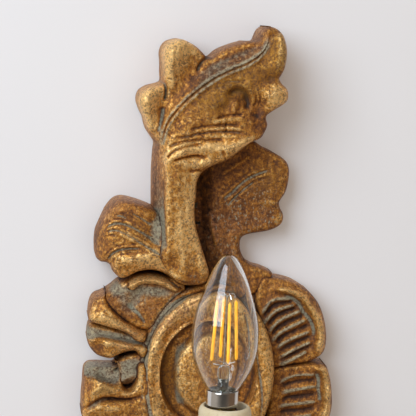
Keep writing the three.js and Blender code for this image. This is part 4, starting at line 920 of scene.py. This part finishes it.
def gilding(name):
    """Water gilding on clay, toned, pitted with dark specks and rubbed back, with shade painted into
    its hollows.
    """
    material, tree, shader = new_material(name)
    tone = attribute(tree, "tone")
    hollow = attribute(tree, "hollow")
    clay = attribute(tree, "clay")
    broad = grain(tree, 70, 4, 0.6)
    mottled = grain(tree, 420, 5, 0.7)
    specks = grain(tree, 760, 3, 0.8)
    clumps = grain(tree, 260, 4, 0.8)
    flecks = grain(tree, 800, 3, 0.7, stretch=(1, 1, 0.55))
    # Darker in hollows: brown glaze, and partly painted shade.
    level = maths(tree, "SUBTRACT", tone, maths(tree, "MULTIPLY", hollow, 0.3))
    level = maths(tree, "ADD", level, around_zero(tree, broad, 0.5))
    level = maths(tree, "ADD", level, around_zero(tree, mottled, 1.5))
    level = maths(tree, "ADD", level, around_zero(tree, flecks, 0.9))
    level = maths(tree, "ADD", level, 0.1)
    base = colour_ramp(tree, level, [(0.0, "2E1A0C"), (0.2, "5A3616"), (0.42, "8C5620"),
                                     (0.6, "B47730"), (0.78, "DEA04A"), (1.0, "FFCF84")])
    pink = maths(tree, "MULTIPLY", spread(tree, clay, 0.0, 1.2), spread(tree, mottled, 0.38, 0.62))
    base = blend_colour(tree, maths(tree, "MULTIPLY", pink, 0.7), base, colour("BA7E52"))
    olive = spread(tree, clay, 0.0, -1.0)
    base = blend_colour(tree, maths(tree, "MULTIPLY", olive, 0.6), base, colour("94681C"))
    wax = maths(tree, "ADD", attribute(tree, "patina"), maths(tree, "MULTIPLY", hollow, 0.3))
    wax = maths(tree, "ADD", wax, around_zero(tree, mottled, 1.15))
    wax = spread(tree, wax, 0.35, 0.95)
    base = blend_colour(tree, maths(tree, "MULTIPLY", wax, 0.85), base, colour("92917B"))
    pale = maths(tree, "MULTIPLY", spread(tree, attribute(tree, "fleck"), 0.1, 0.9),
                 spread(tree, flecks, 0.56, 0.64))
    base = blend_colour(tree, maths(tree, "MULTIPLY", pale, 0.85), base, colour("9DA28E"))
    dark = maths(tree, "MULTIPLY", spread(tree, specks, 0.47, 0.57),
                 spread(tree, clumps, 0.36, 0.6, 0.45, 1.0))
    base = blend_colour(tree, maths(tree, "MULTIPLY", dark, 0.84), base, colour("4A2410"))
    # Painted shade: the deepest hollows darkened toward near black.
    painted_deep_shade = spread(tree, hollow, 0.4, 1.1)
    base = blend_colour(tree, maths(tree, "MULTIPLY", painted_deep_shade, 0.4), base, colour("2A180C"))
    ungilt = attribute(tree, "bare")
    timber = spread(tree, grain(tree, 500, 4, 0.6, stretch=(1, 1, 0.06)), 0.35, 0.65)
    wood = blend_colour(tree, timber, colour("A5845C"), colour("7E5F3E"))
    base = blend_colour(tree, ungilt, base, wood)
    tree.links.new(base, shader.inputs["Base Color"])
    covered = maths(tree, "MAXIMUM", wax, maths(tree, "MULTIPLY", dark, 0.8))
    bright = maths(tree, "MULTIPLY", maths(tree, "SUBTRACT", 1.0, covered),
                   maths(tree, "SUBTRACT", 1.0, ungilt))
    metal = maths(tree, "MULTIPLY", spread(tree, level, 0.25, 0.85, 0.15, 0.74), bright)
    tree.links.new(metal, shader.inputs["Metallic"])
    rough = maths(tree, "ADD", spread(tree, level, 0.2, 1.0, 0.66, 0.42),
                  maths(tree, "MULTIPLY", wax, 0.15))
    tree.links.new(rough, shader.inputs["Roughness"])
    relief = maths(tree, "SUBTRACT", mottled, maths(tree, "MULTIPLY", dark, 0.35))
    raise_grain(tree, shader, relief, 0.7, 0.0006)
    return material


gilt_wood = gilding("gilt_wood")
solid.materials.clear()
solid.materials.append(gilt_wood)
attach(panel, "root")
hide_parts("carved_panel")

# ---- hanging plate -------------------------------------------------------------------
# A pressed steel plate let into the back, with a keyhole for the wall hook, held by two
# slotted countersunk wood screws.


def plain_metal(name, code, rough, stain, stained, scratch=600.0):
    """Bare or plated metal with fine rubbing marks and a little tarnish."""
    material, tree, shader = new_material(name)
    fine = grain(tree, scratch, 4, 0.6, stretch=(1, 1, 0.25))
    cloud = grain(tree, 110, 4, 0.65)
    tarnish = maths(tree, "MULTIPLY", spread(tree, cloud, 0.48, 0.72), stained)
    base = blend_colour(tree, tarnish, colour(code), colour(stain))
    tree.links.new(base, shader.inputs["Base Color"])
    tree.links.new(maths(tree, "ADD", rough - 0.08, maths(tree, "MULTIPLY", fine, 0.18)),
                   shader.inputs["Roughness"])
    shader.inputs["Metallic"].default_value = 1.0
    raise_grain(tree, shader, fine, 0.15, 0.0002)
    return material


def coat(material, *names):
    """Gives a finish to pieces that keep the shape they were drawn with."""
    for name in names:
        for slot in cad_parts[name].material_slots:
            slot.material = material


steel = plain_metal("steel", "A7A8A8", 0.42, "6B5B4B", 0.5)
coat(steel, "hanger_plate", "hanger_screw_left", "hanger_screw_right")

# ---- wiring in the pocket ------------------------------------------------------------
# A glazed ceramic terminal block screwed to the pocket's floor, and two covered leads that
# run from it through the arm to the lampholder.


def dull(name, code, second, rough, scale=300.0):
    """A plastic, ceramic or painted finish, mottled between two near colours."""
    material, tree, shader = new_material(name)
    cloud = grain(tree, scale, 4, 0.6)
    share = maths(tree, "MULTIPLY", spread(tree, cloud, 0.35, 0.7), 0.6)
    base = blend_colour(tree, share, colour(code), colour(second))
    tree.links.new(base, shader.inputs["Base Color"])
    tree.links.new(spread(tree, cloud, 0.2, 0.8, rough, rough + 0.12), shader.inputs["Roughness"])
    raise_grain(tree, shader, cloud, 0.1, 0.0002)
    return material


brass = plain_metal("brass", "C9A552", 0.32, "7A5B2A", 0.5)
coat(brass, "terminal_block_screw_upper", "terminal_block_screw_lower")
coat(steel, "terminal_block_fixing_screw")
coat(dull("ceramic", "E9E4D8", "D8D0BF", 0.22), "terminal_block")
coat(dull("lead_live_cover", "5B3418", "4A2912", 0.42, 900), "lead_live")
coat(dull("lead_neutral_cover", "3C5A8C", "324B76", 0.42, 900), "lead_neutral")

# ---- arm -----------------------------------------------------------------------------
# A bent brass tube, gilded and toned like the panel. It passes through a turned flange and
# collar on the carved seat and is drawn up by a nut behind; three slotted screws hold the
# flange.
TUBE_R = 4.5
TUBE_BORE_R = 3.2
LEAN = math.radians(2.6)
CANDLE = Matrix.Translation((-0.9, -90, 0)) @ Matrix.Rotation(LEAN, 4, "Y")
AWAY = Matrix.Rotation(math.pi / 2, 4, "X")     # turns +Z to point away from the wall
CLOSE = 1e-7
SHARP = math.radians(35)


def on_axis(length):
    return CANDLE @ Vector((0, 0, length))


def gilded_metal(name):
    """Gilt brass with patches of brown toning and fine dark specks."""
    material, tree, shader = new_material(name)
    broad = grain(tree, 90, 4, 0.6)
    mottled = grain(tree, 500, 5, 0.7)
    specks = grain(tree, 1300, 2, 0.6)
    level = maths(tree, "ADD", maths(tree, "ADD", 0.62, around_zero(tree, broad, 0.6)),
                  around_zero(tree, mottled, 0.7))
    base = colour_ramp(tree, level, [(0.0, "3A2410"), (0.3, "7A5220"), (0.55, "A9782F"),
                                     (0.8, "C99A48"), (1.0, "E6C27A")])
    dark = spread(tree, specks, 0.54, 0.66)
    base = blend_colour(tree, maths(tree, "MULTIPLY", dark, 0.55), base, colour("2B1A10"))
    tree.links.new(base, shader.inputs["Base Color"])
    tree.links.new(spread(tree, level, 0.2, 1.0, 0.55, 0.3), shader.inputs["Roughness"])
    tree.links.new(maths(tree, "SUBTRACT", 0.9, maths(tree, "MULTIPLY", dark, 0.5)),
                   shader.inputs["Metallic"])
    raise_grain(tree, shader, mottled, 0.35, 0.0003)
    return material


def finish(name, bm, material, body, slot, *stands_for, place=Matrix.Identity(4)):
    """Puts a modelled piece, in millimetres, in its place, parents it to its body and hides the pieces
    it stands for.
    """
    bmesh.ops.remove_doubles(bm, verts=bm.verts, dist=CLOSE)
    bmesh.ops.recalc_face_normals(bm, faces=bm.faces)
    bmesh.ops.transform(bm, matrix=Matrix.Scale(MM, 4) @ place, verts=bm.verts)
    mesh = bpy.data.meshes.new(name)
    bm.to_mesh(mesh)
    bm.free()
    mesh.shade_smooth()
    mesh.set_sharp_from_angle(angle=SHARP)
    mesh.materials.append(material)
    piece = bpy.data.objects.new(name, mesh)
    bpy.context.scene.collection.objects.link(piece)
    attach(piece, body)
    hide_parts(*stands_for)
    return piece


def spin_profile(bm, profile, segments=96, closed=True):
    """Turns a profile of (radius, length) points about the Z axis."""
    verts = [bm.verts.new((r, 0, s)) for r, s in profile]
    following = verts[1:] + (verts[:1] if closed else [])
    edges = [bm.edges.new(pair) for pair in zip(verts, following)]
    bmesh.ops.spin(bm, geom=verts + edges, cent=(0, 0, 0), axis=(0, 0, 1),
                   angle=2 * math.pi, steps=segments, use_merge=True)


def rounded(profile, radius, steps=3):
    """A closed profile with its corners eased by a small arc."""
    points = [Vector(p) for p in profile]
    eased = []
    for before, corner, after in zip(points[-1:] + points[:-1], points, points[1:] + points[:1]):
        back, on = before - corner, after - corner
        if corner.x < 1e-6 or back.length < 1e-6 or on.length < 1e-6:
            eased.append(tuple(corner))
            continue
        cut = min(radius, 0.45 * back.length, 0.45 * on.length)
        start, end = corner + back.normalized() * cut, corner + on.normalized() * cut
        for k in range(steps + 1):
            t = k / steps
            eased.append(tuple((1 - t) ** 2 * start + 2 * t * (1 - t) * corner + t * t * end))
    return eased


gilt_metal = gilded_metal("gilt_metal")


def bend(a, b, c, d, steps=20):
    return [(1 - t) ** 3 * a + 3 * (1 - t) ** 2 * t * b + 3 * (1 - t) * t * t * c + t**3 * d
            for t in (k / steps for k in range(steps + 1))]


def sweep(bm, path, radius, sides=24, closed_ends=True):
    """A round bar along a path of points."""
    headings = [(b - a).normalized() for a, b in zip(path, path[1:])]
    headings = [headings[0]] + [(a + b).normalized() for a, b in zip(headings, headings[1:])] \
        + [headings[-1]]
    across = headings[0].orthogonal().normalized()
    rings = []
    for point, heading in zip(path, headings):
        across = (across - heading * across.dot(heading)).normalized()
        turn = Matrix((across, heading.cross(across), heading)).transposed().to_4x4()
        made = bmesh.ops.create_circle(bm, segments=sides, radius=radius,
                                       matrix=Matrix.Translation(point) @ turn)
        verts = made["verts"]
        if rings:
            edges = [e for ring in (rings[-1], verts) for e in
                     {e for v in ring for e in v.link_edges if all(w in ring for w in e.verts)}]
            bmesh.ops.bridge_loops(bm, edges=edges)
        rings.append(verts)
    if closed_ends:
        for ring in (rings[0], rings[-1]):
            bmesh.ops.contextual_create(bm, geom=ring)
    return rings


ARM_PATH = ([Vector((0, y, ARM_Z)) for y in (-9, -20, -30)]
            + bend(*(Vector(p) for p in ((0, -40, -70), (0, -57, -70), (-1.6, -50, -104),
                                         (-1.6, -67, -104))))
            + bend(Vector((-1.6, -67, -104)), Vector((-3.2, -82, -104)), on_axis(-101),
                   on_axis(-90))[1:]
            + [on_axis(-80), on_axis(-72), on_axis(-64)])
bm = bmesh.new()
outer = sweep(bm, ARM_PATH, TUBE_R, 32, closed_ends=False)
inner = sweep(bm, ARM_PATH, TUBE_BORE_R, 32, closed_ends=False)
for k in (0, -1):
    ends = {e for ring in (outer[k], inner[k]) for v in ring for e in v.link_edges
            if all(w in ring for w in e.verts)}
    bmesh.ops.bridge_loops(bm, edges=list(ends))
finish("arm", bm, gilt_metal, "root", "gilt_metal", "arm_tube")

SEAT = Matrix.Translation((0, 0, ARM_Z)) @ AWAY
bm = bmesh.new()
spin_profile(bm, rounded([(4.7, 30.3), (16.6, 30.3), (16.6, 32), (15.6, 33.2), (14.2, 33.4),
                          (13.2, 34.3), (4.7, 34.3)], 0.6))
finish("arm_rose", bm, gilt_metal, "root", "gilt_metal", "arm_flange", place=SEAT)
bm = bmesh.new()
spin_profile(bm, rounded([(4.7, 34.6), (7.2, 34.6), (7.8, 35.4), (7.8, 36.4), (6.9, 37.4),
                          (5.8, 38), (4.7, 38)], 0.4))
finish("arm_ring", bm, gilt_metal, "root", "gilt_metal", "arm_collar", place=SEAT)
coat(steel, "arm_washer")
coat(brass, "arm_nut", "flange_screw_1", "flange_screw_2", "flange_screw_3")

# ---- cup, drip pan and socket --------------------------------------------------------
# Turned brass pieces threaded on the tube above the arm: a cup, a dished pan for drips and
# a short socket that the candle sleeve stands in.
CUP = [(4.8, -92), (6.6, -92), (7.4, -90.6), (6.6, -89.2), (8.6, -87.4), (12.6, -85.4),
       (14.8, -82.2), (15, -79.8), (13.4, -77.6), (4.8, -77.6)]
PAN = [(4.8, -77.3), (13.5, -77.3), (22, -75.8), (28.5, -71.6), (31, -67.2), (30.6, -66),
       (29.2, -66.4), (26.8, -70), (21.4, -73.6), (18.6, -74.4), (4.8, -74.4)]
SOCKET = [(4.8, -74.1), (17.6, -74.1), (18.4, -72.4), (17.9, -65.6), (17, -64.9), (16.4, -65.6),
          (16.4, -71.6), (4.8, -71.6)]
for name, node_name, profile, easing in (("cup", "candle_cup", CUP, 1.2),
                                         ("pan", "drip_pan", PAN, 1.6),
                                         ("socket", "sleeve_socket", SOCKET, 0.5)):
    bm = bmesh.new()
    spin_profile(bm, rounded(profile, easing, 4), 128)
    finish(name, bm, gilt_metal, "root", "gilt_metal", node_name, place=CANDLE)
coat(brass, "tube_nut")

# ---- lampholder ----------------------------------------------------------------------
# A small screw lampholder moulded in brown resin, standing on a steel bracket inside the
# sleeve, with a threaded brass shell.
coat(dull("holder_brown", "3B2417", "4A3020", 0.35, 260), "holder_body")
coat(steel, "holder_bracket", "holder_fixing_screw")
coat(brass, "holder_shell", "holder_contact", "holder_terminal_screw_right",
     "holder_terminal_screw_left")

# ---- candle sleeve -------------------------------------------------------------------
# A rolled cream card-and-resin tube with a softly rounded lip, standing loose in the
# socket. A faint seam runs down its front.
SLEEVE = CANDLE @ Matrix.Translation((1.8, 0, 0))
SEAM_TURN = 14                  # degrees round from the front
SEAM_DRAW = 0.985               # the seam's share of the tube's full radius
SLEEVE_PROFILE = [(11.2, -69.3), (13.7, -69.3), (14.1, -68.8), (14.1, -3.6), (13.75, -1.9),
                  (13.0, -0.6), (12.1, -0.05), (11.5, -0.1), (11.2, -0.6)]


def ivory(name):
    """Aged cream paint, faintly streaked along the tube."""
    material, tree, shader = new_material(name)
    cloud = grain(tree, 60, 4, 0.6)
    streak = grain(tree, 260, 4, 0.6, stretch=(1, 1, 0.12))
    spots = grain(tree, 1400, 2, 0.5)
    base = blend_colour(tree, spread(tree, cloud, 0.35, 0.7), colour("D6C9AB"), colour("C9B995"))
    base = blend_colour(tree, maths(tree, "MULTIPLY", spread(tree, streak, 0.5, 0.75), 0.35), base,
                        colour("B8A680"))
    base = blend_colour(tree, maths(tree, "MULTIPLY", spread(tree, spots, 0.62, 0.7), 0.35), base,
                        colour("8F7C58"))
    tree.links.new(base, shader.inputs["Base Color"])
    tree.links.new(spread(tree, streak, 0.2, 0.8, 0.42, 0.58), shader.inputs["Roughness"])
    raise_grain(tree, shader, streak, 0.2, 0.0003)
    return material


bm = bmesh.new()
spin_profile(bm, rounded(SLEEVE_PROFILE, 0.6, 4), 128)
for vert in bm.verts:       # the seam: a shallow groove down the front
    angle = math.degrees(math.atan2(vert.co.x, -vert.co.y)) - SEAM_TURN
    if math.hypot(vert.co.x, vert.co.y) > 12.5 and abs(angle) < 2:
        vert.co.x *= SEAM_DRAW
        vert.co.y *= SEAM_DRAW
finish("sleeve", bm, ivory("sleeve_cream"), "sleeve", "sleeve_cream", "candle_sleeve", place=SLEEVE)

# ---- lamp cap ------------------------------------------------------------------------
# The lamp's nickel-plated screw cap: a rolled thread below and a plain skirt above, with a
# black glass insulator and a contact at the bottom and the driver board inside.
PITCH = 2.822
ROOT_R = 6.14
THREAD_DEPTH = 0.75
THREAD_LOW, THREAD_HIGH = -13.2, -2.7
RUN_OUT = 1.2                   # the thread fades over this length at each end
THREADED = [(ROOT_R, THREAD_LOW + 0.35 * k) for k in range(31)]
SKIRT = [(7.2, -1.1), (8.3, -0.1), (8.55, 0.5), (8.55, 7.9), (8.35, 8.4), (8.05, 8.4), (8.0, 0.6),
         (6.6, -0.9), (5.5, -2.6)]
nickel = plain_metal("nickel", "DAD6D0", 0.11, "A39C90", 0.2, 900)
bm = bmesh.new()
spin_profile(bm, rounded([(5.5, -13.8), (5.9, -13.8)] + THREADED + SKIRT, 0.3, 3), 96)
for vert in bm.verts:       # the rolled thread
    s, r = vert.co.z, math.hypot(vert.co.x, vert.co.y)
    if THREAD_LOW < s < THREAD_HIGH and r > 6.0:
        turned = math.cos(math.atan2(vert.co.y, vert.co.x) - 2 * math.pi * s / PITCH)
        ends = min(1, (s - THREAD_LOW) / RUN_OUT, (THREAD_HIGH - s) / RUN_OUT)
        swell = 1 + THREAD_DEPTH * 0.5 * (1 + turned) * ends / r
        vert.co.x *= swell
        vert.co.y *= swell
finish("cap", bm, nickel, "lamp", "nickel", "lamp_cap", place=CANDLE)
coat(nickel, "lamp_tip_contact")
coat(dull("insulator_black", "17171A", "24211F", 0.18), "lamp_insulator")
coat(dull("circuit_board", "2E6B3C", "255A33", 0.4, 500), "lamp_driver")

# ---- glass bulb and filaments --------------------------------------------------------
# A blown clear glass candle bulb. Inside, a pressed glass stem carries a mast, and four
# phosphor-coated filament strips stand round it between wire supports.
GLASS = [(7.55, 3.5), (7.6, 8.6), (8.6, 9.1), (9.8, 10.6), (12.4, 15), (14.8, 20), (16.5, 25),
         (17.5, 30.5), (17.75, 37), (17.4, 43.5), (16.05, 50.5), (13.1, 60), (11.4, 65), (9.4, 70),
         (6.9, 75), (4.2, 79.2), (1.9, 81.1), (0, 81.5)]
GLASS_WALL = 0.8
STEM = [(0, 2.4), (6.3, 2.4), (6.3, 4.2), (4.6, 5.6), (3.4, 8.4), (3.0, 12), (3.1, 15),
        (3.4, 17.6), (3.3, 20.4), (2.4, 21.4), (0, 21.6)]


def clear_glass(name, tint, rough):
    material, tree, shader = new_material(name)
    cloud = grain(tree, 120, 3, 0.5)
    shader.inputs["Transmission Weight"].default_value = 1.0
    shader.inputs["IOR"].default_value = 1.47
    tree.links.new(blend_colour(tree, spread(tree, cloud, 0.3, 0.7), colour(tint), colour("FFFFFF")),
                   shader.inputs["Base Color"])
    tree.links.new(spread(tree, cloud, 0.3, 0.8, rough, rough + 0.015), shader.inputs["Roughness"])
    return material


bm = bmesh.new()
curve = smooth_line(GLASS[3:], step=1.2)
outside = GLASS[:3] + [tuple(p) for p in curve]
inside = []
for k, (r, s) in enumerate(outside):
    a, b = outside[max(k - 1, 0)], outside[min(k + 1, len(outside) - 1)]
    run = Vector((b[0] - a[0], b[1] - a[1])).normalized()
    inside.append((max(r - run.y * GLASS_WALL, 0), s + run.x * GLASS_WALL))
inside[-1] = (0, GLASS[-1][1] - GLASS_WALL)
spin_profile(bm, outside + inside[::-1], 96)
bulb = finish("bulb", bm, clear_glass("clear_glass", "F7F9F6", 0.0), "lamp", "clear_glass",
              "lamp_glass", place=CANDLE)
bulb.visible_shadow = False

bm = bmesh.new()
spin_profile(bm, rounded(STEM, 0.8, 4), 48, closed=False)
bmesh.ops.remove_doubles(bm, verts=bm.verts, dist=1e-5)
for vert in bm.verts:       # the top is pinched flat over the wires
    vert.co.y *= 1 - 0.58 * fade_in(vert.co.z, 11.0, 15.0)
stem = finish("stem", bm, clear_glass("stem_glass", "F2F6F0", 0.02), "lamp", "clear_glass",
              "lamp_stem", place=CANDLE)
stem.visible_shadow = False
coat(nickel, "lamp_support_wires", "lamp_lead_wire_rear", "lamp_lead_wire_front")


def phosphor(name):
    """Amber phosphor resin over the chips, with a faint painted glow."""
    material, tree, shader = new_material(name)
    cloud = grain(tree, 700, 3, 0.5, stretch=(1, 1, 0.3))
    base = blend_colour(tree, spread(tree, cloud, 0.35, 0.7), colour("F7B52C"), colour("E89A1A"))
    tree.links.new(base, shader.inputs["Base Color"])
    # Painted glow: the emission brightens the strips though the lamp is off.
    tree.links.new(base, shader.inputs["Emission Color"])
    shader.inputs["Emission Strength"].default_value = 0.35
    tree.links.new(spread(tree, cloud, 0.2, 0.8, 0.35, 0.5), shader.inputs["Roughness"])
    return material


FIRST_ANGLE = 10                # degrees round from the right
LOW_R, LOW_AT = 6.9, 25         # the strips' lower ends: distance from the middle, and length
HIGH_R, HIGH_AT = 5.2, 56       # their upper ends
STRIP_R = 0.9
PIN_R = 0.4
amber = phosphor("phosphor")
for number in range(4):
    angle = math.radians(FIRST_ANGLE + 90 * number)
    low = Vector((LOW_R * math.cos(angle), LOW_R * math.sin(angle), LOW_AT))
    high = Vector((HIGH_R * math.cos(angle), HIGH_R * math.sin(angle), HIGH_AT))
    run = (high - low).normalized()
    strip = [low + run * 0.2, low + run * 0.9]
    strip += [low + (high - low) * t for t in (0.1, 0.3, 0.5, 0.7, 0.9)]
    strip += [high - run * 0.9, high - run * 0.2]
    bm = bmesh.new()
    sweep(bm, strip, STRIP_R, 16)
    for end in (low, high):
        sweep(bm, [end - run * 0.6, end + run * 0.6], PIN_R, 8)
    finish(f"filament_{number + 1}", bm, amber, "lamp", "phosphor", f"lamp_filament_{number + 1}",
           place=CANDLE)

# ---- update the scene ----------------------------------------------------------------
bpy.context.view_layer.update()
